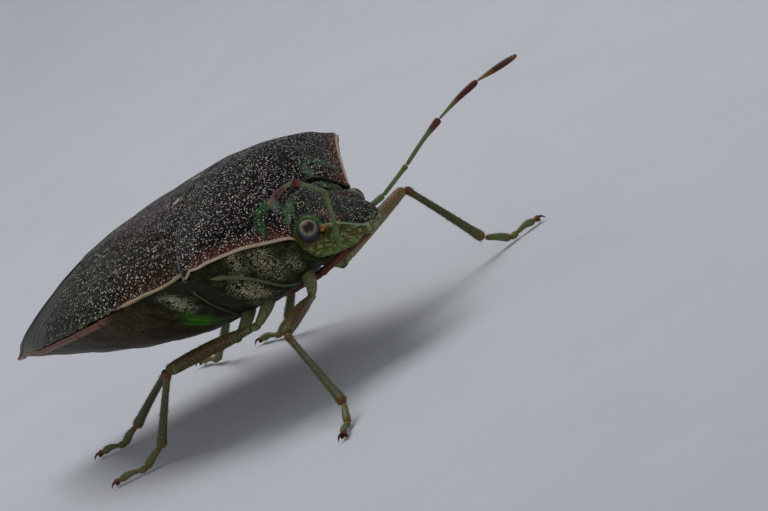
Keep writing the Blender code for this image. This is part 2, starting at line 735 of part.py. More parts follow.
def coxa(leg):
    """Short hip piece that hangs from the breast and turns out to the leg."""
    name = "coxa_" + leg
    hip, joint = Vector(LEG_JOINTS[leg][0]), Vector(LEG_JOINTS[leg][1])
    normal = joint_normal(hip, joint, LEG_JOINTS[leg][2])
    along = (joint - hip).normalized()
    finish = joint - along * (GAP / 2 / along.dot(normal))
    down = Vector((0, 0, -1))
    turning = (down + normal).normalized()
    bend = hip.lerp(finish, 0.45) + down * 0.06
    points = ring(hip, down, 0.30) + ring(bend, turning, 0.31) + ring(finish, normal, 0.24)
    shape = bmesh.new()
    for point in points:
        shape.verts.new(point * MM)
    hull = bmesh.ops.convex_hull(shape, input=shape.verts)
    unused = [item for item in hull["geom_interior"] if isinstance(item, bmesh.types.BMVert)]
    bmesh.ops.delete(shape, geom=unused, context="VERTS")
    mesh = bpy.data.meshes.new(name)
    shape.to_mesh(mesh)
    shape.free()
    return finish_mesh(name, mesh, "coxa")


def femur(leg):
    """Thigh from the hip piece to the knee."""
    name = "femur_" + leg
    mesh = limb_segment(name, LEG_JOINTS[leg], 1, FEMUR, LEG_SIDES, bow=0.05)
    return finish_mesh(name, mesh, "femur")


def tibia(leg):
    """Shin from the knee to the ankle."""
    name = "tibia_" + leg
    return finish_mesh(name, limb_segment(name, LEG_JOINTS[leg], 2, TIBIA, LEG_SIDES), "tibia")


def tarsus(leg):
    """Three-jointed foot that lies on its flat sole, with two claws."""
    name = "tarsus_" + leg
    begin, toe, first, last = limb_span(LEG_JOINTS[leg], 3)
    heel_part = 0.34
    path = []
    for t, _ in TARSUS:
        point = begin.lerp(toe, t)
        point.z = toe.z + (begin.z - toe.z) * max(1 - t / heel_part, 0.0)
        path.append(point)
    ahead = (toe - begin).to_2d().to_3d().normalized()
    foot = tube_mesh(name, path, [radius for _, radius in TARSUS], FOOT_SIDES, first, ahead, FLOOR)
    claws = []
    for side in (1, -1):
        out = Matrix.Rotation(side * math.radians(32), 3, "Z") @ ahead
        root = toe - ahead * 0.18
        heights = (0.02, 0.05, 0.0, -0.10)
        path = [root + out * reach + Vector((0, 0, z)) for (reach, _), z in zip(CLAW, heights)]
        claws.append(tube_mesh("claw", path, [radius for _, radius in CLAW], 6))
    return finish_mesh(name, boolean(name, foot, claws, "UNION"), "tarsus")


def antenna_segment(side, index):
    """One of the five segments of a feeler."""
    name = "antenna_%s_%d" % ("left" if side > 0 else "right", index + 1)
    profile = FEELER_TIP if index == 4 else FEELER
    mesh = limb_segment(name, ANTENNA_JOINTS[side], index, profile, ANTENNA_SIDES)
    return finish_mesh(name, mesh, "antenna_green" if index < 3 else "antenna_red")


def stand_on_floor(nodes):
    """Move the whole bug so that its feet are on z = 0 and its footprint is centred."""
    corners = [vertex.co for node in nodes for vertex in node.data.vertices]
    low = [min(c[i] for c in corners) for i in range(3)]
    high = [max(c[i] for c in corners) for i in range(3)]
    shift = Vector((-(low[0] + high[0]) / 2, -(low[1] + high[1]) / 2, -low[2]))
    for node in nodes:
        node.data.transform(Matrix.Translation(shift))


def build():
    """Make every node."""
    clear_scene()
    nodes = [pronotum(), scutellum(), prothorax(), pterothorax(), abdomen(), head()]
    nodes += [rostrum("rostrum_base", ROSTRUM_BASE), rostrum("rostrum_tip", ROSTRUM_TIP)]
    for side in (1, -1):
        nodes += [corium(side), membrane(side, over=side > 0), eye(side)]
        nodes += [antenna_segment(side, index) for index in range(5)]
    for leg in LEG_JOINTS:
        nodes += [coxa(leg), femur(leg), tibia(leg), tarsus(leg)]
    stand_on_floor(nodes)


build()
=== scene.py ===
import math
import random

import bpy
from mathutils import Matrix, Vector, noise


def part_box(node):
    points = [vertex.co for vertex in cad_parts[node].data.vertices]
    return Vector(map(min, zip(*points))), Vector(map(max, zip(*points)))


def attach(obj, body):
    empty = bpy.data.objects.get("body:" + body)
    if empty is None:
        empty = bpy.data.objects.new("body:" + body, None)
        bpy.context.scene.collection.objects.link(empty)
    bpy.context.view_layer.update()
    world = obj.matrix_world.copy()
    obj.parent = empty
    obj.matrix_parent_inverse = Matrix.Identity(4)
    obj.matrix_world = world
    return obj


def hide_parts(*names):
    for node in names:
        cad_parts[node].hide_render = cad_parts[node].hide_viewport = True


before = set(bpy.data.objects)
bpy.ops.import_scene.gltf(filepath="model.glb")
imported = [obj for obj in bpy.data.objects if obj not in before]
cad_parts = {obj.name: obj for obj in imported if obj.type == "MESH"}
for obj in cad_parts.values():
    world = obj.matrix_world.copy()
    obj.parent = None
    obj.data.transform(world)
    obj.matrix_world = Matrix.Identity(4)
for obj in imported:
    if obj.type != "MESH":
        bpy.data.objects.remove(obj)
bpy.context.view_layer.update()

# Pronotum: the domed shield over the fore body, a plate of tanned cuticle. It is pitted all over with pale
# specks between the pits, the brightest of them painted glints, with a cream keel along each side and two green scars
# behind the eyes.
# Lengths are in millimetres in the body's own frame, until settle() brings a piece to its place.
MM = 0.001
pronotum_low, pronotum_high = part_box("pronotum")
SOLID_FRONT_X, SOLID_ORIGIN_Z = 1.60, 5.0
BODY_ORIGIN = Vector((pronotum_high.x - SOLID_FRONT_X * MM, (pronotum_low.y + pronotum_high.y) / 2,
                      SOLID_ORIGIN_Z * MM))
SHOULDER_X, SHOULDER_Y = 0.10, 4.10
FRONT_CORNER_X, FRONT_CORNER_Y = 1.78, 1.50
PRONOTUM_FRONT_X, PRONOTUM_HIND_X = 1.30, -1.10
PRONOTUM_OVERLAP = 0.13
CREASE_ANGLE = math.radians(42)
SIDES = {"left": 1, "right": -1}
BACK = [(-10.4, -1.38), (-8.5, -0.44), (-6.5, 0.38), (-4.5, 0.86), (-2.5, 1.19),
        (-0.6, 1.39), (0.4, 1.06), (1.15, 0.36), (1.6, -0.10), (1.85, -0.34)]
EDGE = [(-10.4, -1.40), (-8.5, -1.05), (-6.0, -0.60), (-3.0, -0.22), (0.0, 0.03),
        (0.4, -0.03), (0.85, -0.20), (1.6, -0.70), (1.85, -0.84)]
HALF_WIDTH = [(-10.25, 0.08), (-9.9, 0.42), (-9.55, 0.82), (-9.0, 1.38), (-8.0, 2.16), (-7.0, 2.80),
              (-5.5, 3.46), (-4.0, 3.76), (-2.5, 3.80), (-1.0, 3.84), (-0.1, 4.05), (SHOULDER_X, SHOULDER_Y)]


def curve_through(stations, at):
    """Smooth value at one place on a curve through (place, value) stations."""
    points = sorted(stations)
    if at <= points[0][0]:
        return points[0][1]
    if at >= points[-1][0]:
        return points[-1][1]
    i = max(k for k in range(len(points) - 1) if points[k][0] <= at)
    (x0, v0), (x1, v1) = points[i], points[i + 1]

    def slope(k):
        before, after = points[max(k - 1, 0)], points[min(k + 1, len(points) - 1)]
        return (after[1] - before[1]) / (after[0] - before[0])

    span = x1 - x0
    t = (at - x0) / span
    return ((2 * t ** 3 - 3 * t ** 2 + 1) * v0 + (t ** 3 - 2 * t ** 2 + t) * span * slope(i)
            + (3 * t ** 2 - 2 * t ** 3) * v1 + (t ** 3 - t ** 2) * span * slope(i + 1))


def bump(distance, width):
    """Round rise of height 1 at distance 0 that fades over the width."""
    return math.exp(-(distance / width) ** 2)


def ramp(value, start, length):
    """Eased way from 0 to 1 of a value that passes a start and fades in over the length."""
    t = min(max((value - start) / length, 0.0), 1.0)
    return t * t * (3 - 2 * t)


def blot(x, y, centre_x, centre_y, reach_x, reach_y):
    """Oval patch on both sides of the body, 1 at its centre and faded out past its reach."""
    return bump(math.hypot((x - centre_x) / reach_x, (abs(y) - centre_y) / reach_y), 1.0)


def rounding(t, start_cap, end_cap):
    """Share of its full size that a closed shape has at t, from 0 to 1, with a round cap at each end."""
    start = math.sqrt(max(1 - max(1 - t / start_cap, 0.0) ** 2, 0.0))
    return start * math.sqrt(max(1 - max(1 - (1 - t) / end_cap, 0.0) ** 2, 0.0))


def half_width(x):
    """Half width of the body at its side edge."""
    if x <= SHOULDER_X:
        return curve_through(HALF_WIDTH, x)
    along = (FRONT_CORNER_X - x) / (FRONT_CORNER_X - SHOULDER_X)
    return FRONT_CORNER_Y + (SHOULDER_Y - FRONT_CORNER_Y) * max(along, 0.0) ** 1.05


def edge_height(x):
    return curve_through(EDGE, x)


def back_height(x, y):
    """Height of the domed back, which is level in places as a living bug's is."""
    edge = edge_height(x)
    across = min(abs(y) / half_width(x), 1.0)
    return edge + (curve_through(BACK, x) - edge) * (1 - across ** 2.2)


def swell(x, y, size):
    """Slow unevenness of the cuticle, from -1 to 1 over a size in millimetres."""
    return noise.noise(Vector((x / size, y / size, 3.7)))


def select(*pieces):
    bpy.ops.object.select_all(action="DESELECT")
    for piece in pieces:
        piece.select_set(True)
    if pieces:
        bpy.context.view_layer.objects.active = pieces[0]


def primitive(name, make, **settings):
    """A new object from one of the tools that make a mesh."""
    select()
    make(**settings)
    bpy.context.object.name = name
    return bpy.context.object


def plate(name, rows, columns, surface):
    """A grid laid over surface(u, w), with u from 0 to 1 towards the tail and w from -1 to 1 across."""
    piece = primitive(name, bpy.ops.mesh.primitive_grid_add, x_subdivisions=rows, y_subdivisions=columns, size=2)
    for vertex in piece.data.vertices:
        vertex.co = surface((1 - vertex.co.x) / 2, vertex.co.y)
    return piece


def apply_modifier(piece, kind, **settings):
    select(piece)
    modifier = piece.modifiers.new(kind.lower(), kind)
    for key, value in settings.items():
        setattr(modifier, key, value)
    bpy.ops.object.modifier_apply(modifier=modifier.name)


def thicken(piece, thickness, rim_radius, wall=None):
    """Give a sheet its thickness inward, thinner where wall(x, y) is under 1, and round its rim."""
    settings = {}
    if wall:
        group = piece.vertex_groups.new(name="wall")
        for vertex in piece.data.vertices:
            group.add([vertex.index], wall(vertex.co.x, vertex.co.y), "REPLACE")
        settings["vertex_group"] = "wall"
    apply_modifier(piece, "SOLIDIFY", thickness=thickness, offset=-1, **settings)
    apply_modifier(piece, "BEVEL", width=rim_radius, segments=3, limit_method="ANGLE",
                   angle_limit=math.radians(50))


def mark(piece, **values):
    """Keep each named value(x, y, z) on every vertex, for a material to read."""
    for name, value in values.items():
        attribute = piece.data.attributes.new(name, "FLOAT", "POINT")
        for i, vertex in enumerate(piece.data.vertices):
            attribute.data[i].value = value(*vertex.co)


def settle(piece, material, slot, *nodes):
    """Bring a piece from millimetres in the body's own frame to its place, and dress it."""
    for vertex in piece.data.vertices:
        vertex.co = BODY_ORIGIN + vertex.co * MM
    piece.data.materials.clear()
    piece.data.materials.append(material)
    select(piece)
    bpy.ops.object.shade_smooth_by_angle(angle=CREASE_ANGLE)
    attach(piece, "root")
    if nodes:
        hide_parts(*nodes)


def pronotum_front_edge(y):
    reach = abs(y)
    if reach <= FRONT_CORNER_Y:
        return PRONOTUM_FRONT_X + (FRONT_CORNER_X - PRONOTUM_FRONT_X) * (reach / FRONT_CORNER_Y) ** 3.5
    out = min((reach - FRONT_CORNER_Y) / (SHOULDER_Y - FRONT_CORNER_Y), 1.0)
    return FRONT_CORNER_X - (FRONT_CORNER_X - SHOULDER_X) * out ** 0.95 - 0.10 * ramp(out, 0.86, 0.14)


def pronotum_hind_edge(y):
    return PRONOTUM_HIND_X + 1.05 * min(abs(y) / SHOULDER_Y, 1.0) ** 2.8


def shield_height(x, y):
    """Height of the pronotum's surface, with its pads, keel, grooves and the drop of its rim."""
    front = pronotum_front_edge(y)
    pad = 0.06 * bump(math.hypot(x - 1.0, (abs(y) - 1.40) * 0.8), 0.36)
    keel = 0.03 * bump(front - x, 0.10) * ramp(abs(y), 1.4, 0.3)
    groove = -0.05 * bump(front - x - 0.36, 0.16) * ramp(abs(y), 1.7, 0.5)
    collar_groove = -0.04 * bump(front - x - 0.20, 0.08) * (1 - ramp(abs(y), 1.1, 0.4))
    drop = -0.07 * bump(front - x, 0.10) * (1 - ramp(abs(y), 1.4, 0.2)) - 0.07 * ramp(abs(y), 3.5, 0.6)
    uneven = 0.018 * swell(x, y, 0.5) + 0.03 * swell(x, y, 1.3)
    return back_height(x, y) + pad + keel + groove + collar_groove + drop + uneven


def pronotum_surface(u, w):
    y = SHOULDER_Y * math.sin(math.pi / 2 * w * 0.96) / math.sin(math.pi / 2 * 0.96)
    front, hind = pronotum_front_edge(y), pronotum_hind_edge(y) - PRONOTUM_OVERLAP
    x = front + (hind - front) * u
    return (x, y, shield_height(x, y) - 0.05 * bump(u - 1, 0.04))


def keel_distance(x, y):
    """Distance in from the slanting side edge of the pronotum."""
    return (pronotum_front_edge(y) - x) * 0.86


def scar(x, y):
    """Curved scar behind each eye: an arc that opens to the front."""
    round_arc = math.hypot((x - 1.36) / 0.27, (abs(y) - 1.42) / 0.50)
    blotches = 0.70 + 1.1 * swell(x, y, 0.13)
    return bump(round_arc - 1, 0.38) * (1 - ramp(x, 1.30, 0.14)) * blotches


pronotum = plate("pronotum_plate", 90, 240, pronotum_surface)
mark(pronotum, keel=lambda x, y, z: (1 - ramp(keel_distance(x, y), 0.025, 0.04)) * ramp(abs(y), 1.45, 0.15),
     flush=lambda x, y, z: (1 - ramp(keel_distance(x, y), 0.02, 0.42)) * ramp(abs(y), 1.0, 0.7),
     scar=lambda x, y, z: scar(x, y),
     bald=lambda x, y, z: blot(x, y, 1.22, 0.95, 0.16, 0.2),
     collar=lambda x, y, z: bump(pronotum_front_edge(y) - x, 0.022) * (1 - ramp(abs(y), 1.5, 0.1)),
     hind_rim=lambda x, y, z: bump(x - pronotum_hind_edge(y) + 0.10, 0.05) * ramp(abs(y), 0.9, 1.2))
thicken(pronotum, 0.13, 0.02, lambda x, y: 0.40 + 0.60 * ramp(keel_distance(x, y), 0.0, 0.4))


def colour(code):
    """Linear colour of an sRGB hex code."""
    channels = [int(code[i:i + 2], 16) / 255 for i in (0, 2, 4)]
    linear = [c / 12.92 if c <= 0.04045 else ((c + 0.055) / 1.055) ** 2.4 for c in channels]
    return (*linear, 1.0)


def plug(tree, node, inputs):
    """Fill a node's inputs: sockets are linked, other values are set."""
    for key, value in inputs.items():
        if isinstance(value, bpy.types.NodeSocket):
            tree.links.new(value, node.inputs[key])
        else:
            node.inputs[key].default_value = value


def add(tree, kind, inputs=None, **settings):
    """Add a node with its settings and inputs."""
    node = tree.nodes.new("ShaderNode" + kind)
    for key, value in settings.items():
        setattr(node, key, value)
    plug(tree, node, inputs or {})
    return node


def new_material(name, roughness, ior=1.5):
    """A material with its tree and shader."""
    material = bpy.data.materials.new(name)
    material.use_nodes = True
    tree = material.node_tree
    shader = tree.nodes["Principled BSDF"]
    plug(tree, shader, {"Roughness": roughness, "IOR": ior})
    return material, tree, shader


CUTICLE_SHEEN = 0.08


def punctured_cuticle(name, ground, pit, speck_and_glint, spacing, share, roughness, tints):
    """Tanned cuticle with pits between raised pale specks, one to a spacing in millimetres on average; the brightest,
    near white specks are painted glints.

    The share is how many of the specks show, and each tint is (attribute, colour, how much speckling it keeps).
    """
    material, tree, shader = new_material(name, roughness)
    place = add(tree, "TexCoord").outputs["Object"]
    wobble = add(tree, "TexNoise", {"Vector": place, "Scale": 0.9 / (spacing * MM), "Detail": 2.0})
    bent = add(tree, "VectorMath", {0: wobble.outputs["Color"], 1: (0.9 * spacing * MM,) * 3, 2: place},
               operation="MULTIPLY_ADD").outputs[0]
    cells = add(tree, "TexVoronoi", {"Vector": bent, "Scale": 1 / (spacing * MM)})
    grain = add(tree, "TexNoise", {"Vector": place, "Scale": 2.2 / (spacing * MM), "Detail": 2.0,
                                   "Roughness": 0.6}).outputs["Fac"]
    patchy = add(tree, "TexNoise", {"Vector": place, "Scale": 1500.0, "Detail": 3.0}).outputs["Fac"]
    luck = add(tree, "SeparateColor", {"Color": cells.outputs["Color"]})
    size = add(tree, "Math", {0: luck.outputs["Red"], 1: 0.22, 2: 0.10 + 0.16 * share},
               operation="MULTIPLY_ADD").outputs[0]
    size = add(tree, "Math", {0: grain, 1: 0.45, 2: size}, operation="MULTIPLY_ADD").outputs[0]
    size = add(tree, "Math", {0: size, 1: 0.22}, operation="SUBTRACT").outputs[0]
    inside = add(tree, "Math", {0: size, 1: cells.outputs["Distance"]}, operation="SUBTRACT").outputs[0]
    specks = add(tree, "MapRange", {0: inside, 1: -0.03, 2: 0.09}).outputs[0]
    # Each speck's brightness, random and patchy: the dim specks are the cuticle's pale colour, and the near white
    # ones are painted glints.
    paleness_and_glint = add(tree, "Math", {0: luck.outputs["Green"], 1: patchy}, operation="MULTIPLY").outputs[0]
    paleness_and_glint = add(tree, "MapRange", {0: paleness_and_glint, 1: 0.05, 2: 0.42, 3: 0.15, 4: 1.0}).outputs[0]
    specks = add(tree, "Math", {0: specks, 1: paleness_and_glint}, operation="MULTIPLY").outputs[0]
    between = add(tree, "MapRange", {0: grain, 1: 0.35, 2: 0.72}).outputs[0]
    base = add(tree, "Mix", {0: between, 6: colour(pit), 7: colour(ground)}, data_type="RGBA").outputs[2]
    keep = None
    for attribute, code, kept in tints:
        amount = add(tree, "Attribute", attribute_name=attribute).outputs["Fac"]
        ragged = add(tree, "Math", {0: grain, 1: 0.9, 2: -0.45}, operation="MULTIPLY_ADD").outputs[0]
        ragged = add(tree, "Math", {0: ragged, 1: amount}, operation="ADD").outputs[0]
        amount = add(tree, "MapRange", {0: ragged, 1: 0.25, 2: 0.75}).outputs[0]
        shaded = add(tree, "Mix", {0: between, 6: colour(pit), 7: colour(code)}, data_type="RGBA")
        tinted = add(tree, "Mix", {0: 0.7, 6: shaded.outputs[2], 7: colour(code)}, data_type="RGBA")
        base = add(tree, "Mix", {0: amount, 6: base, 7: tinted.outputs[2]}, data_type="RGBA").outputs[2]
        loss = add(tree, "Math", {0: amount, 1: kept - 1, 2: 1.0}, operation="MULTIPLY_ADD").outputs[0]
        keep = loss if keep is None else add(tree, "Math", {0: keep, 1: loss}, operation="MULTIPLY").outputs[0]
    if keep is not None:
        specks = add(tree, "Math", {0: specks, 1: keep}, operation="MULTIPLY").outputs[0]
    base = add(tree, "Mix", {0: specks, 6: base, 7: colour(speck_and_glint)}, data_type="RGBA").outputs[2]
    height = add(tree, "Math", {0: specks, 1: 1.2, 2: between}, operation="MULTIPLY_ADD").outputs[0]
    relief = add(tree, "Bump", {"Height": height, "Distance": 0.12 * spacing * MM, "Strength": 0.9})
    plug(tree, shader, {"Base Color": base, "Normal": relief.outputs["Normal"],
                        "Specular IOR Level": CUTICLE_SHEEN})
    return material


# Tanned shield cuticle: near black with a purple cast, satin, and its pits about 0.05 mm apart make it grainy.
shield_cuticle = punctured_cuticle(
    "tanned_shield_cuticle", "180c0d", "020101", "fff2e2", 0.052, 0.56, 0.36,
    [("flush", "4a1d12", 0.85), ("scar", "2c5a30", 0.75), ("bald", "4c6254", 0.4),
     ("hind_rim", "565f5e", 0.7), ("collar", "4f5238", 0.3), ("keel", "c9b298", 0.1)])
settle(pronotum, shield_cuticle, "back_cuticle", "pronotum")


# Scutellum: the long triangular plate between the wings, of the same pitted cuticle. Its base is tucked below
# the pronotum, with three small pale spots, and its tongue reaches past the middle of the wings.
SCUTELLUM_BASE_X, SCUTELLUM_TIP_X = -1.12, -6.45
SCUTELLUM_HALF_WIDTH = [(SCUTELLUM_TIP_X, 0.12), (-6.36, 0.36), (-6.1, 0.55), (-5.4, 0.78), (-4.4, 1.02),
                        (-3.2, 1.50), (-1.4, 2.32)]
SCUTELLUM_BRIM = 0.10


def scutellum_half_width(x):
    return curve_through(SCUTELLUM_HALF_WIDTH, x)


def scutellum_surface(u, w):
    x = SCUTELLUM_BASE_X + (SCUTELLUM_TIP_X - SCUTELLUM_BASE_X) * math.sin(math.pi / 2 * u) ** 0.9
    y = (scutellum_half_width(x) + SCUTELLUM_BRIM) * math.sin(math.pi / 2 * w)
    x += (pronotum_hind_edge(y) - PRONOTUM_HIND_X) * (1 - ramp(-x, 1.1, 1.5))
    under = -0.10 * bump(max(x - pronotum_hind_edge(y) + 0.05, 0.0) - 0.35, 0.28)
    rim = scutellum_half_width(x) + SCUTELLUM_BRIM - abs(y)
    fold = 0.03 - 0.05 * bump(rim, 0.08)
    return (x, y, back_height(x, y) + fold + under + 0.02 * swell(x, y, 0.7) + 0.02 * swell(x, y, 1.7))


def base_spot(x, y):
    return max(bump(math.hypot((x + 1.50) / 0.9, y - at), 0.14) for at in (-1.18, 0.0, 1.18))


scutellum = plate("scutellum_plate", 120, 100, scutellum_surface)
mark(scutellum, spot=lambda x, y, z: base_spot(x, y),
     bloom=lambda x, y, z: blot(x, y, -3.3, 1.1, 1.5, 0.8),
     margin=lambda x, y, z: bump(scutellum_half_width(x) + SCUTELLUM_BRIM - abs(y), 0.05) * ramp(-x, 1.1, 0.2),
     moss=lambda x, y, z: ramp(-x, 3.6, 2.4) * 0.8)
thicken(scutellum, 0.12, 0.04)
# The same cuticle with its pits a little further apart, a purple bloom on its sides and a moss green tongue.
scutellum_cuticle = punctured_cuticle(
    "tanned_scutellum_cuticle", "1d1213", "030202", "ecdfcf", 0.062, 0.58, 0.38,
    [("bloom", "2f1c24", 0.8), ("moss", "272b1f", 0.85), ("spot", "c4b39c", 0.1),
     ("margin", "090605", 0.15)])
settle(scutellum, scutellum_cuticle, "back_cuticle", "scutellum")


# Coria: the leathery fore halves of the wings. Each lies under the scutellum's edge, with a groove that sets off
# the narrow inner strip, two blunt veins, and a cream front rib that forms the body's side line.
WING_TIP_X = -10.37
WING_HALF_WIDTH = [(WING_TIP_X, 0.10), (-10.2, 0.42), (-9.6, 0.92), (-8.8, 1.47), (-8.0, 2.02),
                   (-7.0, 2.66), (-5.5, 3.31), (-4.0, 3.61), (-2.5, 3.67), (-0.6, 3.74)]
CORIUM_INNER_X, CORIUM_INNER_Y = -5.55, 1.08
CORIUM_OUTER_X = -6.85
CORIUM_INNER_START_X, CORIUM_OUTER_START_X = -1.25, -0.50


def wing_half_width(x):
    return curve_through(WING_HALF_WIDTH, x)


CORIUM_OUTER_Y = wing_half_width(CORIUM_OUTER_X)


def folded_down(x, y, reach):
    """How far the outer rim of a wing curves down to lie on the abdomen's rim."""
    return -0.20 * ramp(abs(y), reach - 0.42, 0.42)


def corium_lines(u):
    """Inner and outer end of the corium's cross line at u, in plan."""
    inner_x = CORIUM_INNER_START_X + (CORIUM_INNER_X - 0.12 - CORIUM_INNER_START_X) * u
    outer_x = CORIUM_OUTER_START_X + (CORIUM_OUTER_X - 0.12 - CORIUM_OUTER_START_X) * u
    inner = Vector((inner_x, max(scutellum_half_width(inner_x) - 0.18, 0.5)))
    return inner, Vector((outer_x, wing_half_width(outer_x) + 0.02))


def corium_surface(u, w):
    t = (math.sin(math.pi / 2 * w * 0.92) / math.sin(math.pi / 2 * 0.92) + 1) / 2
    inner, outer = corium_lines(u)
    x, y = inner.lerp(outer, t)
    collar = pronotum_hind_edge(y) + 0.12
    x += (collar - x) * (1 - u) ** 6
    under = -0.09 * ramp(x - pronotum_hind_edge(y), -0.16, 0.25)
    groove = -0.05 * bump(t - (0.36 - 0.14 * u), 0.022) + 0.02 * bump(t - (0.42 - 0.14 * u), 0.05)
    veins = 0.035 * bump(t - 0.66, 0.03) * (1 - ramp(u, 0.55, 0.35)) + 0.03 * bump(t - 0.52 + 0.1 * u, 0.03)
    rib = 0.03 * bump(1 - t, 0.03) - 0.03 * bump(t - 0.93, 0.03) + folded_down(x, y, wing_half_width(x))
    uneven = 0.02 * swell(x, y, 0.5) + 0.025 * swell(x, y, 1.4)
    return (x, y, back_height(x, y) + under + groove + veins + rib + uneven - 0.01)


def rib_distance(x, y):
    return wing_half_width(x) + 0.02 - abs(y)


def wing_seam(x, y):
    """Nearness to the scutellum's margin and to the groove that runs beside it towards its tip."""
    out = abs(y) - scutellum_half_width(x)
    return max(bump(out - 0.13, 0.045), 0.8 * bump(out - 0.17 - 0.72 * (1 - ramp(-x, 1.0, 4.9)), 0.03))


def mirror(piece):
    piece.data.transform(Matrix.Diagonal((1, -1, 1, 1)))
    piece.data.flip_normals()


corium_left = plate("corium_left_sheet", 130, 66, corium_surface)
mark(corium_left, rib=lambda x, y, z: (1 - ramp(rib_distance(x, y), 0.05, 0.04)) * (1 - ramp(-x, 2.5, 1.1)),
     amber=lambda x, y, z: 0.8 * (1 - ramp(rib_distance(x, y), 0.05, 0.55)) * (1 - ramp(-x, 2.0, 2.6)),
     moss=lambda x, y, z: ramp(-x, 1.6, 3.6) * 0.9,
     wine=lambda x, y, z: blot(x, y, -2.6, 1.7, 1.5, 0.6) * 0.8,
     ash=lambda x, y, z: ramp(-x, 4.4, 1.6) * ramp(abs(y), 1.6, 1.2) * 0.9,
     seam=lambda x, y, z: wing_seam(x, y))
thicken(corium_left, 0.08, 0.02)
corium_right = corium_left.copy()
corium_right.data = corium_left.data.copy()
corium_right.name = "corium_right_sheet"
bpy.context.scene.collection.objects.link(corium_right)
mirror(corium_right)
# Leathery wing cuticle: dark, greener towards the tail, with coarser pits 0.07 mm apart and dull pale specks;
# the brightest specks are painted glints.
wing_cuticle = punctured_cuticle(
    "leathery_wing_cuticle", "211710", "040303", "e4d6bc", 0.072, 0.60, 0.40,
    [("moss", "242a1e", 0.85), ("ash", "2b2e27", 0.6), ("wine", "301a1b", 0.9), ("amber", "402a17", 0.95),
     ("rib", "b9a385", 0.1), ("seam", "090605", 0.15)])
settle(corium_left, wing_cuticle, "back_cuticle", "corium_left")
settle(corium_right, wing_cuticle, "back_cuticle", "corium_right")


# Membranes: the thin, smoky hind parts of the wings, held up by fine veins. They come out from under the
# coria, and the left one lies over the right.
def membrane_front(t):
    turn = 0.34
    inner_x, inner_y = CORIUM_INNER_X + 0.15, CORIUM_INNER_Y - 0.1
    outer_x, outer_y = CORIUM_OUTER_X + 0.25, CORIUM_OUTER_Y - 0.10
    if t > turn:
        way = (t - turn) / (1 - turn)
        return Vector((inner_x + (outer_x - inner_x) * way, inner_y + (outer_y - inner_y) * way))
    angle = math.pi / 2 * (1 - 0.82 * t / turn)
    return Vector((inner_x + (-6.15 - inner_x) * math.sin(angle), inner_y * math.cos(angle)))


def membrane_rear(t):
    x = WING_TIP_X + (CORIUM_OUTER_X - 0.35 - WING_TIP_X) * abs(t) ** 2.2
    return Vector((x, math.copysign(wing_half_width(x), t)))


def membrane_surface(first, lap, lift):
    def surface(u, w):
        across = (w + 1) / 2
        x, y = membrane_front(across).lerp(membrane_rear(first + (1 - first) * across), u)
        y += lap * math.sin(math.pi * u) * (1 - across) ** 2
        veins = 0.022 * max(bump(across * 7 - k - 0.4 - 0.25 * u, 0.10) for k in range(7))
        under = -0.06 * (1 - ramp(u, 0.0, 0.10)) + 0.8 * folded_down(x, y, wing_half_width(x))
        return (x, y, back_height(x, y) - 0.05 + lift * (1 - 0.7 * u ** 4) + veins * (1 - ramp(u, 0.86, 0.12))
                + under + 0.012 * swell(x, y, 0.6))
    return surface


membrane_left = plate("membrane_left_sheet", 90, 120, membrane_surface(-0.30, -0.35, 0.02))
membrane_right = plate("membrane_right_sheet", 90, 120, membrane_surface(0.30, 0.30, -0.03))
mirror(membrane_right)
for sheet in (membrane_left, membrane_right):
    mark(sheet, tip=lambda x, y, z: (1 - ramp(wing_half_width(x) - abs(y), 0.02, 0.22)) * ramp(-x, 7.9, 1.4))
    thicken(sheet, 0.02, 0.006)
# Wing film: thin smoky brown cuticle with a satin gloss, duller where fine wrinkles cross it.
film, tree, shader = new_material("smoky_wing_film", 0.38)
place = add(tree, "TexCoord").outputs["Object"]
cloud = add(tree, "TexNoise", {"Vector": place, "Scale": 1800.0, "Detail": 4.0}).outputs["Fac"]
cloud = add(tree, "MapRange", {0: cloud, 1: 0.35, 2: 0.65}).outputs[0]
tone = add(tree, "Mix", {0: cloud, 6: colour("1b1a16"), 7: colour("34332b")}, data_type="RGBA").outputs[2]
blush = add(tree, "Attribute", attribute_name="tip").outputs["Fac"]
tone = add(tree, "Mix", {0: blush, 6: tone, 7: colour("7a5648")}, data_type="RGBA").outputs[2]
wrinkle = add(tree, "TexNoise", {"Vector": place, "Scale": 9000.0, "Detail": 3.0}).outputs["Fac"]
relief = add(tree, "Bump", {"Height": wrinkle, "Distance": 0.012 * MM, "Strength": 0.5})
plug(tree, shader, {"Base Color": tone, "Normal": relief.outputs["Normal"], "Specular IOR Level": 0.35})
settle(membrane_left, film, "wing_membrane", "membrane_left")
settle(membrane_right, film, "wing_membrane", "membrane_right")


# Breast: the fore breast's side plates end in a raised pale rim over the hind breast, which carries the middle
# and hind legs. Both are dark green cuticle with patches of cream squiggles, pitted, and pale along their seams.
BELLY = [(-10.25, -1.52), (-9.85, -1.50), (-9.3, -1.46), (-8.5, -1.54), (-7.2, -1.92), (-5.6, -2.38),
         (-4.4, -2.58), (-3.2, -2.70), (-2.4, -2.66), (-1.5, -2.48), (-0.3, -2.40), (0.45, -2.30), (1.4, -1.98)]
BELLY_FULLNESS = [(-10.0, 2.0), (-2.6, 1.9), (-1.0, 2.0), (0.0, 2.2), (1.4, 2.6)]
BREAST_GROOVE = [(-2.6, 0.0), (-1.9, 0.10), (-1.0, 0.16), (0.4, 0.22), (1.4, 0.25)]
SEAM_PATH = [(-0.70, 3.35), (-0.82, 3.16), (-1.01, 2.54), (-1.35, 1.84), (-1.70, 0.95)]
FORE_BREAST_HIND = [(0, 0.60), (1.6, 0.68), (2.34, 0.64), (3.2, 0.33), (3.7, 0.10), (4.1, -0.02)]
HIND_BREAST_REAR_X, HIND_BREAST_SLANT = -2.15, 0.50
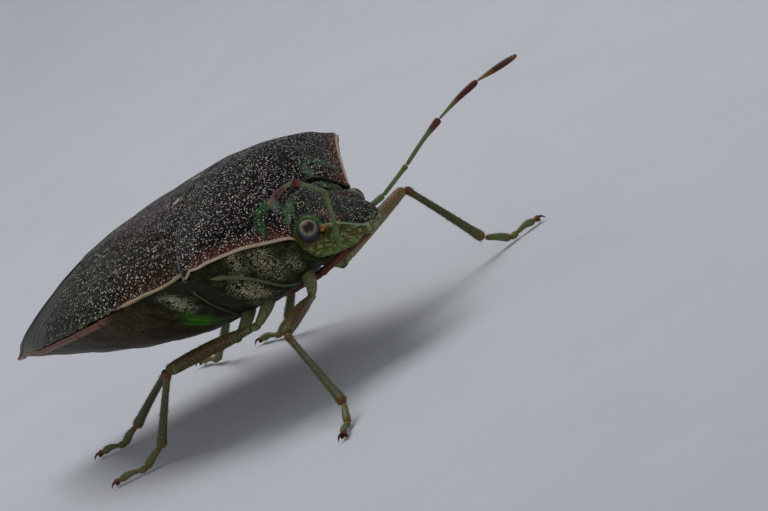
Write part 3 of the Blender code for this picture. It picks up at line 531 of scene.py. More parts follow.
SQUIGGLE_SPOTS = [(1.02, 2.15, 0.36, 0.70, 0.7), (1.30, 1.55, 0.25, 0.35, 0.6), (0.72, 2.9, 0.25, 0.35, 0.7),
                  (0.30, 2.45, 0.28, 0.72, 1.1), (-0.35, 1.6, 0.35, 0.5, 0.7), (-1.60, 3.1, 0.36, 0.48, 1.1)]


def belly_height(x, y):
    """Underside of the body, with a groove along the middle of the breast for the beak."""
    rim = edge_height(x) - 0.22 + 0.12 * ramp(-x, 8.0, 2.0)
    across = min(abs(y) / half_width(x), 1.0)
    depth = (rim - curve_through(BELLY, x)) * (1 - across ** curve_through(BELLY_FULLNESS, x))
    depth *= 1 - 0.35 * bump(across - 0.93, 0.13) * ramp(x, -2.6, 0.8)
    return rim - depth + curve_through(BREAST_GROOVE, x) * bump(y, 0.20)


def line_distance(here, a, b):
    t = min(max((here - a).dot(b - a) / (b - a).length_squared, 0.0), 1.0)
    return (here - a.lerp(b, t)).length


def near_path(x, y, path):
    """Distance from a place on either side of the body to a line of plan points."""
    here = Vector((x, abs(y)))
    return min(line_distance(here, Vector(a), Vector(b)) for a, b in zip(path, path[1:]))


def fore_breast_hind(y):
    return curve_through(FORE_BREAST_HIND, abs(y))


def fore_breast_surface(u, w):
    across = math.sin(math.pi / 2 * w)
    front = 1.56 + 0.14 * ramp(abs(across), 0.35, 0.5)
    x = front + (fore_breast_hind(across * 3.7) - 0.06 - front) * u
    y = across * (half_width(x) - 0.05)
    rim = -0.05 * bump(u - 1, 0.05) + 0.04 * bump(u - 0.84, 0.06)
    raised = 0.19 * ramp(abs(across), 0.82, 0.17)
    fold = -0.06 * blot(x, y, 0.75, 2.0, 0.5, 0.6)
    socket = -0.10 * blot(x, y, 1.05, 1.05, 0.35, 0.35)
    return (x, y, belly_height(x, y) + rim + raised + fold + socket + 0.02 * swell(x, y, 0.4))


def hind_breast_surface(u, w):
    across = math.sin(math.pi / 2 * w)
    front = fore_breast_hind(across * 3.8) + 0.14
    rear = HIND_BREAST_REAR_X - HIND_BREAST_SLANT * abs(across) ** 1.5
    x = front + (rear - front) * u
    y = across * (half_width(x) - 0.10)
    under = 0.07 * (1 - ramp(u, 0.04, 0.08))
    rim = -0.03 * bump(u - 1, 0.03)
    raised = 0.08 * ramp(abs(across), 0.9, 0.1)
    seam = near_path(x, y, SEAM_PATH)
    ridge = -0.05 * bump(seam, 0.05) + 0.05 * bump(seam - 0.12, 0.06)
    sockets = -0.12 * max(blot(x, y, at_x, at_y, 0.42, 0.42) for at_x, at_y in ((-0.45, 1.10), (-1.35, 1.15)))
    return (x, y, belly_height(x, y) + under + rim + raised + ridge + sockets + 0.025 * swell(x, y, 0.45))


def squiggle_patch(x, y):
    return max(share * blot(x, y, *spot) for *spot, share in SQUIGGLE_SPOTS)


def vivid_patch(x, y):
    return (0.68 + 0.3 * swell(x, y, 0.25)) * blot(x, y, -2.12, 2.0, 0.42, 0.75)


def front_rim(x, y, z):
    return (0.4 + 0.5 * swell(x + z, y, 0.12)) * bump(x - 1.62, 0.08) * bump(abs(y) - 1.45, 0.5)


def hind_breast_rear(y):
    return HIND_BREAST_REAR_X - HIND_BREAST_SLANT * (abs(y) / 3.5) ** 1.5


fore_breast = plate("fore_breast_plate", 60, 160, fore_breast_surface)
hind_breast = plate("hind_breast_plate", 90, 160, hind_breast_surface)
for piece, rear in ((fore_breast, fore_breast_hind), (hind_breast, hind_breast_rear)):
    piece.data.flip_normals()
    mark(piece, pale_rim=lambda x, y, z: bump(x - rear(y) - 0.01, 0.025) * ramp(abs(y), 0.7, 0.6),
         front_rim=front_rim,
         squiggle=lambda x, y, z: squiggle_patch(x, y),
         vivid=lambda x, y, z: vivid_patch(x, y),
         ridge=lambda x, y, z: bump(near_path(x, y, SEAM_PATH), 0.030) * (1 - ramp(x, 0.0, 0.1)) * 0.8)
    thicken(piece, 0.10, 0.03)


def mottled_cuticle(name, ground, pit, cream, tints, roughness):
    """Green or brown cuticle with contour-like cream squiggles where the squiggle attribute is high."""
    material, tree, shader = new_material(name, roughness)
    place = add(tree, "TexCoord").outputs["Object"]
    drawn_out = add(tree, "VectorMath", {0: place, 1: (0.6, 1.0, 1.2)}, operation="MULTIPLY").outputs[0]
    field = add(tree, "TexNoise", {"Vector": drawn_out, "Scale": 8200.0, "Detail": 1.0, "Roughness": 0.4,
                                   "Distortion": 0.6}).outputs["Fac"]
    wave = add(tree, "Math", {0: field, 1: 34.0}, operation="MULTIPLY").outputs[0]
    wave = add(tree, "Math", {0: wave}, operation="SINE").outputs[0]
    patch = add(tree, "Attribute", attribute_name="squiggle").outputs["Fac"]
    cloud = add(tree, "TexNoise", {"Vector": place, "Scale": 2600.0, "Detail": 4.0}).outputs["Fac"]
    level = add(tree, "Math", {0: patch, 1: 1.3, 2: cloud}, operation="MULTIPLY_ADD").outputs[0]
    level = add(tree, "Math", {0: wave, 1: 0.8, 2: level}, operation="MULTIPLY_ADD").outputs[0]
    cream_part = add(tree, "MapRange", {0: level, 1: 1.45, 2: 2.3, 4: 0.85}).outputs[0]
    cells = add(tree, "TexVoronoi", {"Vector": place, "Scale": 9000.0})
    pits = add(tree, "MapRange", {0: cells.outputs["Distance"], 1: 0.1, 2: 0.45}).outputs[0]
    shade = add(tree, "Math", {0: cloud, 1: 1.2, 2: -0.15}, operation="MULTIPLY_ADD").outputs[0]
    shade = add(tree, "Math", {0: pits, 1: shade}, operation="MULTIPLY").outputs[0]
    base = add(tree, "Mix", {0: shade, 6: colour(pit), 7: colour(ground)}, data_type="RGBA").outputs[2]
    base = add(tree, "Mix", {0: cream_part, 6: base, 7: colour(cream)}, data_type="RGBA").outputs[2]
    for attribute, code in tints:
        amount = add(tree, "Attribute", attribute_name=attribute).outputs["Fac"]
        ragged = add(tree, "Math", {0: cloud, 1: 0.6, 2: -0.3}, operation="MULTIPLY_ADD").outputs[0]
        amount = add(tree, "Math", {0: amount, 1: ragged}, operation="ADD").outputs[0]
        amount = add(tree, "MapRange", {0: amount, 1: 0.2, 2: 0.75}).outputs[0]
        base = add(tree, "Mix", {0: amount, 6: base, 7: colour(code)}, data_type="RGBA").outputs[2]
    height = add(tree, "Math", {0: cream_part, 1: 0.6, 2: pits}, operation="MULTIPLY_ADD").outputs[0]
    relief = add(tree, "Bump", {"Height": height, "Distance": 0.015 * MM, "Strength": 0.7})
    plug(tree, shader, {"Base Color": base, "Normal": relief.outputs["Normal"],
                        "Specular IOR Level": CUTICLE_SHEEN})
    return material


# Side cuticle: dark olive green, satin, with cream squiggles about 0.02 mm wide.
breast_cuticle = mottled_cuticle(
    "mottled_breast_cuticle", "3a3c20", "050602", "cbc49c",
    [("vivid", "4a8f14"), ("ridge", "6a7355"), ("pale_rim", "626b4c"), ("front_rim", "38522c")], 0.45)
settle(fore_breast, breast_cuticle, "breast_cuticle", "prothorax")
settle(hind_breast, breast_cuticle, "breast_cuticle", "pterothorax")


# Abdomen: overlapping rings of olive brown cuticle, flat above under the wings, with a sharp pinkish rim at each
# side that shows past the wings and a black dot on the rim at the hind end of each ring.
RING_ENDS = [-2.98, -3.90, -5.00, -6.10, -7.15, -8.10, -8.95]
FIRST_RING_X = -2.2
ABDOMEN_FRONT_X, ABDOMEN_TIP_X = -2.0, -10.24
ABDOMEN_CAPS = (0.03, 0.02)


def ring_step(x):
    start = FIRST_RING_X
    for end in RING_ENDS:
        if x >= end:
            return min(max((start - x) / (start - end), 0.0), 1.0)
        start = end
    return 0.0


def closed_body(name, around, rings, surface):
    """A ball whose poles lie at a body's front and tail, laid over surface(u, turn)."""
    piece = primitive(name, bpy.ops.mesh.primitive_uv_sphere_add, segments=around, ring_count=rings, radius=1)
    for vertex in piece.data.vertices:
        u = math.acos(min(max(vertex.co.z, -1.0), 1.0)) / math.pi
        vertex.co = surface(u, math.atan2(vertex.co.y, vertex.co.x))
    return piece


def abdomen_surface(u, turn):
    x = ABDOMEN_FRONT_X + (ABDOMEN_TIP_X - ABDOMEN_FRONT_X) * (0.25 * (1 - math.cos(math.pi * u)) / 2 + 0.75 * u)
    closing = rounding(u, *ABDOMEN_CAPS)
    side = math.copysign(abs(math.cos(turn)) ** 0.9, math.cos(turn))
    reach = half_width(x) - 0.16 * (1 - ramp(-x, 2.7, 0.8))
    y = reach * side * closing
    across = abs(side)
    step = ring_step(x)
    if math.sin(turn) >= 0:
        covered = back_height(x, y) - 0.45 + 0.30 * ramp(-x, 7.0, 2.8)
        rise = 1 - ramp(reach - abs(y), 0.0, 0.5)
        z = covered + (edge_height(x) - 0.12 - covered) * rise + 0.02 * step * rise
    else:
        z = belly_height(x, y) + 0.02 * ramp(across, 0.93, 0.07) - 0.04 * step * (1 - across ** 6)
        z -= 0.04 * bump(y, 0.3)
        z += 0.02 * swell(x, y, 0.5)
    middle = edge_height(x) - 0.2
    return (x, y, middle + (z - middle) * closing)


def rim_distance(x, y):
    return half_width(x) - abs(y)


def ring_dot(x, y):
    return max(bump(math.hypot(x - end - 0.03, rim_distance(x, y) - 0.05), 0.055) for end in RING_ENDS[1:])


def spiracle(x, y, z):
    """The breathing hole on each ring, on the underside alone."""
    if z >= edge_height(x) - 0.1:
        return 0.0
    out = (abs(y) / half_width(x) - 0.76) * 3.0
    return max(bump(math.hypot(x - end - 0.45, out), 0.06) for end in RING_ENDS[1:-1])


def side_rim(x, y, z):
    return max((1 - ramp(rim_distance(x, y), 0.07, 0.05)) * ramp(-x, 3.0, 1.2), ramp(-x, 9.5, 0.4))


abdomen = closed_body("abdomen_rings", 220, 170, abdomen_surface)
mark(abdomen, squiggle=lambda x, y, z: 0.16 + 0.30 * blot(x, y, -3.4, 3.3, 1.2, 0.5), rim=side_rim,
     dot=lambda x, y, z: ring_dot(x, y), spiracle=spiracle,
     seam=lambda x, y, z: max(bump(x - end, 0.025) for end in RING_ENDS),
     vivid=lambda x, y, z: vivid_patch(x, y) * 0.8,
     moss=lambda x, y, z: ramp(-z, 1.7, 0.9) * 0.6)
# Belly cuticle: olive brown, satin, finely mottled, with a pinkish brown rim.
belly_cuticle = mottled_cuticle(
    "mottled_belly_cuticle", "4a3a1a", "120d05", "81744c",
    [("moss", "3a3616"), ("vivid", "22701c"), ("seam", "1c160a"), ("rim", "7d5c4c"), ("spiracle", "120d08"),
     ("dot", "0a0605")], 0.45)
settle(abdomen, belly_cuticle, "belly_cuticle", "abdomen")


# Head: a small wedge of hard cuticle, hollowed at its back to fit the pronotum, with a middle lobe between two
# side lobes, a low wall on each side of the beak, and a knob in front of each eye that carries the feeler.
HEAD_HALF_WIDTH = [(3.31, 0.16), (3.26, 0.32), (3.13, 0.50), (2.9, 0.66), (2.65, 0.76), (2.35, 0.82),
                   (2.05, 0.90), (1.85, 1.06), (1.65, 1.28), (1.45, 1.44), (1.0, 1.52)]
HEAD_EDGE = [(1.0, -0.70), (1.6, -0.76), (2.0, -0.83), (2.5, -0.92), (2.8, -1.03), (3.1, -1.24), (3.31, -1.44)]
HEAD_UNDER = [(1.0, -1.80), (1.6, -1.86), (2.0, -1.92), (2.6, -1.90), (2.9, -1.80), (3.15, -1.66),
              (3.31, -1.54)]
HEAD_LOBE = [(1.9, 0.16), (2.5, 0.23), (3.1, 0.23), (3.31, 0.1)]
HEAD_CROWN = [(0.9, 0.16), (1.3, 0.05), (1.81, -0.20), (2.4, -0.56), (2.9, -0.93), (3.31, -1.30)]
HEAD_REAR_X, HEAD_FRONT_X = 0.95, 3.29
HEAD_CAPS = (0.06, 0.10)
HEAD_VOXEL = 0.020
EYE_CENTRE, EYE_RADIUS = (1.98, 1.11, -0.89), 0.32
OCELLUS, OCELLUS_RADIUS, OCELLUS_RISE = (1.74, 0.64), 0.080, 0.045
ANTENNA_JOINTS = {
    1: [(2.50, 0.98, -1.38), (2.85, 1.24, -1.30), (3.65, 1.77, -0.88), (4.74, 2.64, -0.23),
        (5.80, 3.55, 0.14), (6.80, 4.32, 0.21)],
    -1: [(2.62, -1.05, -1.36), (3.03, -1.24, -0.86), (3.52, -1.50, 0.15), (3.78, -2.74, 1.05),
         (4.25, -4.24, 1.20), (5.07, -5.37, 1.42)]}
head_axis = Matrix.Translation(Vector((0.0, -0.70, -0.83)))
HEAD_ROLL = head_axis @ Matrix.Rotation(math.radians(-6), 4, "X") @ head_axis.inverted()


def head_half_width(x):
    return curve_through(HEAD_HALF_WIDTH, x)


def head_top(x, y):
    middle = curve_through(HEAD_CROWN, x)
    across = min(abs(y) / head_half_width(x), 1.0)
    height = middle + (curve_through(HEAD_EDGE, x) - middle) * across ** 2.6
    front = pronotum_front_edge(y)
    cover = shield_height(min(x, front), y) - 0.035 - 0.10 * ramp(front - x, 0.05, 0.3)
    height += (cover - height) * (1 - ramp(x, front, 0.50))
    lobe_half = curve_through(HEAD_LOBE, x)
    lobe = 0.04 * bump(y, lobe_half * 0.8) - 0.06 * bump(abs(y) - lobe_half, 0.045)
    return height + lobe * ramp(x, 2.0, 0.5)


def head_bottom(x, y):
    edge = curve_through(HEAD_EDGE, x) - 0.10
    across = min(abs(y) / head_half_width(x), 1.0)
    height = edge + (curve_through(HEAD_UNDER, x) - edge) * (1 - across ** 3.2)
    channel = curve_through([(1.6, 0.42), (2.9, 0.36), (3.1, 0.0)], x) * bump(y, 0.30)
    wall = 0.07 * bump(abs(y) - 0.36, 0.09) * (1 - ramp(x, 2.7, 0.4))
    hollow = 0.06 * blot(x, y, 2.75, 0.72, 0.35, 0.2)
    return min(height + channel - wall + hollow, head_top(x, y) - 0.08)


def head_surface(u, turn):
    x = HEAD_REAR_X + (HEAD_FRONT_X - HEAD_REAR_X) * (1 - math.cos(math.pi * u)) / 2
    closing = rounding(u, *HEAD_CAPS)
    y = head_half_width(x) * math.cos(turn) * closing
    z = head_top(x, y) if math.sin(turn) >= 0 else head_bottom(x, y)
    middle = curve_through(HEAD_EDGE, x) - 0.06
    return (x, y, middle + (z - middle) * closing)


def limb(name, stations, radii, segments, rings, caps, reference=(0, 0, 1), shape=None):
    """A closed, round-ended segment along a smooth path, with its own along and around attributes."""
    marks = [k / (len(stations) - 1) for k in range(len(stations))]
    axes = [[(t, point[axis]) for t, point in zip(marks, stations)] for axis in range(3)]

    def centre(t):
        return Vector([curve_through(axis, t) for axis in axes])

    piece = primitive(name, bpy.ops.mesh.primitive_uv_sphere_add, segments=segments, ring_count=rings, radius=1)
    along = piece.data.attributes.new("along", "FLOAT", "POINT")
    around = piece.data.attributes.new("around", "FLOAT", "POINT")
    for i, vertex in enumerate(piece.data.vertices):
        z = min(max(vertex.co.z, -1.0), 1.0)
        t = 0.4 * (1 - z) / 2 + 0.6 * math.acos(z) / math.pi
        turn = math.atan2(vertex.co.y, vertex.co.x)
        tangent = (centre(min(t + 0.01, 1.0)) - centre(max(t - 0.01, 0.0))).normalized()
        side = tangent.cross(Vector(reference)).normalized()
        up = side.cross(tangent)
        radius = curve_through(radii, t) * rounding(t, *caps)
        if shape:
            radius *= shape(t, turn)
        vertex.co = centre(t) + (side * math.cos(turn) + up * math.sin(turn)) * radius
        along.data[i].value = t
        around.data[i].value = turn / (2 * math.pi) + 0.5
    piece.data.update()
    return piece


def join(pieces, name):
    select(*pieces)
    bpy.ops.object.join()
    pieces[0].name = name
    return pieces[0]


head = closed_body("head_capsule", 200, 130, head_surface)
head.data.flip_normals()
head.data.transform(HEAD_ROLL)
knobs = []
for side in SIDES.values():
    root = Vector((2.25, 0.52 * side, -1.28))
    joint = Vector(ANTENNA_JOINTS[side][0])
    out = (joint - root).normalized()
    knobs.append(limb("knob", [root, root.lerp(joint, 0.5) + Vector((0, 0, 0.02)), joint + out * 0.02],
                      [(0, 0.22), (0.4, 0.20), (0.75, 0.15), (1, 0.12)], 32, 24, (0.2, 0.12)))
    stalk_root = Vector((EYE_CENTRE[0] - 0.10, (EYE_CENTRE[1] - 0.55) * side, EYE_CENTRE[2] + 0.02))
    stalk_end = Vector((EYE_CENTRE[0] - 0.06, (EYE_CENTRE[1] - 0.10) * side, EYE_CENTRE[2] - 0.02))
    stalk = limb("stalk", [stalk_root, stalk_root.lerp(stalk_end, 0.5), stalk_end],
                 [(0, 0.46), (0.6, 0.42), (1, 0.38)], 40, 24, (0.3, 0.15))
    stalk.data.transform(HEAD_ROLL)
    knobs.append(stalk)
head = join([head] + knobs, "head_capsule")
apply_modifier(head, "REMESH", mode="VOXEL", voxel_size=HEAD_VOXEL)
apply_modifier(head, "SMOOTH", factor=0.6, iterations=4)
unroll = HEAD_ROLL.inverted()


def on_head(rule):
    """A rule for the head's unrolled shape, read where the rolled head lies."""
    return lambda x, y, z: rule(*(unroll @ Vector((x, y, z))))


def above_edge(x, z):
    return z - curve_through(HEAD_EDGE, x)


def side_line(x, y, z):
    return bump(above_edge(x, z) + 0.03, 0.035) * ramp(x, 2.1, 0.3) * ramp(abs(y) / head_half_width(x), 0.75, 0.2)


def near_line(a, b, width):
    """A rule for nearness to a short line on the right side of the head, and to its mirror image."""
    a, b = Vector(a), Vector(b)
    return on_head(lambda x, y, z: bump(line_distance(Vector((x, -abs(y), z)), a, b), width))


def flush(x, y, z):
    beside_lobe = bump((abs(y) - 0.62) / 0.16, 1.0) * ramp(x, 1.9, 0.3) * (1 - ramp(x, 2.7, 0.5))
    return 0.85 * beside_lobe * ramp(above_edge(x, z), 0.0, 0.1)


def brow(x, y, z):
    from_eye = math.dist((x, abs(y), z), EYE_CENTRE)
    return bump(from_eye - 0.37, 0.07) * ramp(z, -1.0, 0.2)


def nape(x, y, z):
    return (0.75 + 0.9 * swell(x, y, 0.11)) * ramp(z, -1.2, 0.3) * blot(x, y, 1.55, 0.95, 0.20, 0.42)


def dapple(x, y, z):
    uneven = noise.noise(Vector((x / 0.10, abs(y) / 0.16, z / 0.07)))
    return ramp(-z, 1.12, 0.25) * (0.35 + 1.1 * uneven)


# Painted light and shade beside each feeler's knob: a painted cream highlight along the knob's lit edge, a painted
# green glint below it, and painted shadow, near black, in the hollow under it.
mark(head, side_line=on_head(side_line),
     orange=near_line((2.26, -0.97, -0.94), (2.38, -0.93, -0.96), 0.09),
     streak=near_line((2.30, -0.95, -0.96), (2.68, -0.82, -1.01), 0.11),
     hollow=near_line((2.28, -0.95, -1.10), (2.50, -0.92, -1.10), 0.13),
     glint=near_line((2.30, -1.00, -1.24), (2.56, -0.92, -1.24), 0.08),
     cheek=on_head(lambda x, y, z: ramp(-above_edge(x, z) - 0.06, 0.0, 0.08)),
     flush=on_head(flush), brow=on_head(brow), nape=on_head(nape), dapple=on_head(dapple),
     under=on_head(lambda x, y, z: ramp(-z, 1.45, 0.25)))
# Head cuticle: dark and grainy above with a green lower face, and cream lines along the edges of the side lobes.
# Beside each feeler's knob it carries a painted cream highlight, a painted green glint and painted shadow.
head_cuticle = punctured_cuticle(
    "tanned_head_cuticle", "252e25", "040504", "d8d6c0", 0.046, 0.46, 0.38,
    [("flush", "44190f", 0.9), ("cheek", "5e5822", 0.28), ("under", "647838", 0.2), ("brow", "4a6a3a", 0.45),
     ("dapple", "98a070", 0.5), ("nape", "42603a", 0.6), ("side_line", "9aa57e", 0.1), ("hollow", "0b1009", 0.1),
     ("glint", "2f7a42", 0.2), ("streak", "e2c68c", 0.1), ("orange", "b8662c", 0.1)])
settle(head, head_cuticle, "head_cuticle", "head")


# Eyes: two large faceted eyes on the head's sides, silvery cream with a brown centre and a dark underside: the
# brown centre is a painted dark pseudopupil, the silvery cream ring partly painted sheen, and the dark underside
# painted shade. On the crown two simple eyes, black beads in a raised cream ring.
def eye_bead(name, side):
    bead = primitive("eye_%s_bead" % name, bpy.ops.mesh.primitive_uv_sphere_add, segments=72, ring_count=48,
                     radius=EYE_RADIUS)
    # Direction of the painted dark pseudopupil: out, forward and up from the eye, for the right eye roughly toward
    # the camera.
    facing = Vector((0.624, side * 0.564, 0.538)).normalized()
    bead.data.transform(Matrix.Diagonal((0.98, 0.92, 1.0, 1)))
    mark(bead, iris=lambda x, y, z: Vector((x, y, z)).normalized().angle(facing),
         below=lambda x, y, z: ramp(-z / EYE_RADIUS + 0.15 * x / EYE_RADIUS, 0.42, 0.22))
    bead.data.transform(HEAD_ROLL @ Matrix.Translation((EYE_CENTRE[0], EYE_CENTRE[1] * side, EYE_CENTRE[2])))
    return bead


def lay_stops(node, stops):
    """Lay (position, colour) stops on a colour ramp, which starts with two."""
    elements = node.color_ramp.elements
    for element, (position, code) in zip(elements, (stops[0], stops[-1])):
        element.position, element.color = position, colour(code)
    for position, code in stops[1:-1]:
        elements.new(position).color = colour(code)


CLEAR_CUTICLE_IOR = 1.55
# Facet cuticle: clear and glossy over a coloured ground; the facets, 0.025 mm across, break up the highlight.
facets, tree, shader = new_material("faceted_eye", 0.36, CLEAR_CUTICLE_IOR)
place = add(tree, "TexCoord").outputs["Object"]
cells = add(tree, "TexVoronoi", {"Vector": place, "Scale": 38000.0, "Randomness": 0.35})
# The ground colour follows the angle from that direction: a brown centre as a painted dark pseudopupil, a cream ring
# that is partly painted sheen, and darker further out.
angle = add(tree, "Attribute", attribute_name="iris").outputs["Fac"]
fray = add(tree, "TexNoise", {"Vector": place, "Scale": 16000.0, "Detail": 2.0}).outputs["Fac"]
angle = add(tree, "Math", {0: fray, 1: 0.5, 2: angle}, operation="MULTIPLY_ADD").outputs[0]
angle = add(tree, "Math", {0: angle, 1: 0.25}, operation="SUBTRACT").outputs[0]
angle = add(tree, "Math", {0: angle, 1: 0.5}, operation="MULTIPLY").outputs[0]
ring = add(tree, "ValToRGB", {0: angle})
lay_stops(ring, [(0.0, "1c120d"), (0.22, "2e1c12"), (0.29, "66543f"), (0.35, "8f866f"), (0.42, "63645c"),
                 (0.52, "3a4046"), (1.0, "262b30")])
# Painted shade: the eye's underside is darkened to a near black blue.
below = add(tree, "Attribute", attribute_name="below").outputs["Fac"]
tone = add(tree, "Mix", {0: below, 6: ring.outputs["Color"], 7: colour("1d232b")}, data_type="RGBA").outputs[2]
relief = add(tree, "Bump", {"Height": cells.outputs["Distance"], "Distance": 0.006 * MM, "Strength": 0.6},
             invert=True)
plug(tree, shader, {"Base Color": tone, "Normal": relief.outputs["Normal"], "Specular IOR Level": 0.22})
for name, side in SIDES.items():
    settle(eye_bead(name, side), facets, "eye_bead", "eye_" + name)

# Simple eyes: a glossy black lens in a ring of dappled cream and green cuticle.
ocellus_glass, tree, shader = new_material("ocellus_lens", 0.12, CLEAR_CUTICLE_IOR)
plug(tree, shader, {"Base Color": colour("0c0b0c")})
ocellus_rim, tree, shader = new_material("ocellus_rim_cuticle", 0.4)
place = add(tree, "TexCoord").outputs["Object"]
cloud = add(tree, "TexNoise", {"Vector": place, "Scale": 14000.0, "Detail": 2.0}).outputs["Fac"]
tone = add(tree, "Mix", {0: cloud, 6: colour("9c9468"), 7: colour("4f5c38")}, data_type="RGBA").outputs[2]
plug(tree, shader, {"Base Color": tone})
for name, side in SIDES.items():
    tilt = Vector((0.45, side * 0.45, 0.77)).to_track_quat("Z", "Y").to_matrix().to_4x4()
    crown = Vector((OCELLUS[0], OCELLUS[1] * side, head_top(*OCELLUS) + OCELLUS_RISE))
    lens = primitive("ocellus_%s_lens" % name, bpy.ops.mesh.primitive_uv_sphere_add, segments=32, ring_count=20,
                     radius=OCELLUS_RADIUS)
    rim = primitive("ocellus_%s_rim" % name, bpy.ops.mesh.primitive_torus_add, major_segments=40,
                    minor_segments=12, major_radius=OCELLUS_RADIUS + 0.006, minor_radius=0.020)
    for piece, material, slot in ((lens, ocellus_glass, "eye_bead"), (rim, ocellus_rim, "head_cuticle")):
        piece.data.transform(HEAD_ROLL @ Matrix.Translation(crown) @ tilt)
        settle(piece, material, slot)


def ramp_cuticle(name, stops, roughness, speckle=0.0, pit="2a1c10"):
    """Smooth limb cuticle whose colour follows the along attribute, with dark specks of a strength."""
    material, tree, shader = new_material(name, roughness)
    place = add(tree, "TexCoord").outputs["Object"]
    along = add(tree, "Attribute", attribute_name="along").outputs["Fac"]
    fray = add(tree, "TexNoise", {"Vector": place, "Scale": 3500.0, "Detail": 4.0,
                                  "Roughness": 0.6}).outputs["Fac"]
    along = add(tree, "Math", {0: fray, 1: 0.10, 2: along}, operation="MULTIPLY_ADD").outputs[0]
    along = add(tree, "Math", {0: along, 1: 0.05}, operation="SUBTRACT").outputs[0]
    tone = add(tree, "ValToRGB", {0: along})
    lay_stops(tone, stops)
    grain = add(tree, "TexNoise", {"Vector": place, "Scale": 16000.0, "Detail": 3.0,
                                   "Roughness": 0.6}).outputs["Fac"]
    dark = add(tree, "MapRange", {0: grain, 1: 0.42, 2: 0.60, 4: speckle}).outputs[0]
    base = add(tree, "Mix", {0: dark, 6: tone.outputs["Color"], 7: colour(pit)}, data_type="RGBA").outputs[2]
    relief = add(tree, "Bump", {"Height": grain, "Distance": 0.008 * MM, "Strength": 0.5})
    plug(tree, shader, {"Base Color": base, "Normal": relief.outputs["Normal"], "Specular IOR Level": 0.25})
    return material


# Beak: the sucking mouthparts in a jointed sheath, laid back between the head's walls and along the breast.
# Smooth red brown cuticle, darker at the joints and nearly black at the tip.
BEAK_JOINTS = [(2.80, -1.74, 0.13), (2.00, -1.97, 0.12), (0.60, -2.38, 0.11), (-0.55, -2.54, 0.10),
               (-1.60, -2.58, 0.04)]
beak_cuticle = ramp_cuticle("beak_sheath_cuticle", [(0.0, "4c2a1c"), (0.12, "7c4634"), (0.85, "6a3c2a"),
                                                    (1.0, "26140e")], 0.42, 0.2)
beak_parts = []
for (x0, z0, r0), (x1, z1, r1) in zip(BEAK_JOINTS, BEAK_JOINTS[1:]):
    middle = ((x0 + x1) / 2, 0, (z0 + z1) / 2 - 0.01)
    radii = [(0, r0 * 0.95), (0.15, r0), (0.8, r1 * 0.95), (0.93, r1 * 1.1), (1, r1)]
    beak_parts.append(limb("beak", [(x0, 0, z0), middle, (x1, 0, z1)], radii, 20, 28, (0.05, 0.05)))
fore_beak = join(beak_parts[:2], "beak_fore_length")
hind_beak = join(beak_parts[2:], "beak_hind_length")
settle(fore_beak, beak_cuticle, "beak_cuticle", "rostrum_base")
settle(hind_beak, beak_cuticle, "beak_cuticle", "rostrum_tip")


# Feelers: five thin tubes each, green and smooth at the base; the outer ones are dark red with a pale base
# and narrow to a stalk at each joint.
FEELER_SHAPES = [
    [(0, 0.10), (0.2, 0.085), (0.7, 0.09), (1, 0.08)],
    [(0, 0.055), (0.1, 0.06), (0.8, 0.065), (0.94, 0.08), (1, 0.07)],
    [(0, 0.05), (0.1, 0.058), (0.6, 0.065), (0.85, 0.095), (0.96, 0.10), (1, 0.07)],
    [(0, 0.035), (0.12, 0.04), (0.4, 0.065), (0.75, 0.092), (0.92, 0.085), (1, 0.05)],
    [(0, 0.035), (0.10, 0.042), (0.35, 0.078), (0.65, 0.09), (0.88, 0.075), (1, 0.04)]]
FEELER_COLOURS = [
    [(0.0, "4a5a30"), (0.5, "66784a"), (1.0, "56683a")],
    [(0.0, "5c6e44"), (0.5, "6a7c52"), (0.93, "64703c"), (1.0, "8a5a2e")],
    [(0.0, "565e34"), (0.1, "66744a"), (0.70, "5f7048"), (0.80, "66362a"), (1.0, "5a2420")],
    [(0.0, "63754c"), (0.25, "70764a"), (0.40, "6f5c34"), (0.52, "562018"), (0.95, "471816"), (1.0, "6b4a2a")],
    [(0.0, "7a7444"), (0.12, "856c3a"), (0.32, "76522c"), (0.45, "48231a"), (0.82, "522e1e"), (1.0, "8a6630")]]
FEELER_ARCH = [0.0, 0.0, 0.03, 0.03, 0.0]
feeler_materials = [ramp_cuticle("feeler_cuticle_%d" % (k + 1), stops, 0.4, 0.12)
                    for k, stops in enumerate(FEELER_COLOURS)]
for name, side in SIDES.items():
    joints = [Vector(joint) for joint in ANTENNA_JOINTS[side]]
    for k in range(5):
        middle = joints[k].lerp(joints[k + 1], 0.5) + Vector((0, 0, FEELER_ARCH[k]))
        tube = limb("feeler_%s_%d" % (name, k + 1), [joints[k], middle, joints[k + 1]], FEELER_SHAPES[k], 24, 48,
                    (0.03, 0.04))
        slot = "feeler_green" if k < 3 else "feeler_red"
        settle(tube, feeler_materials[k], slot, "antenna_%s_%d" % (name, k + 1))


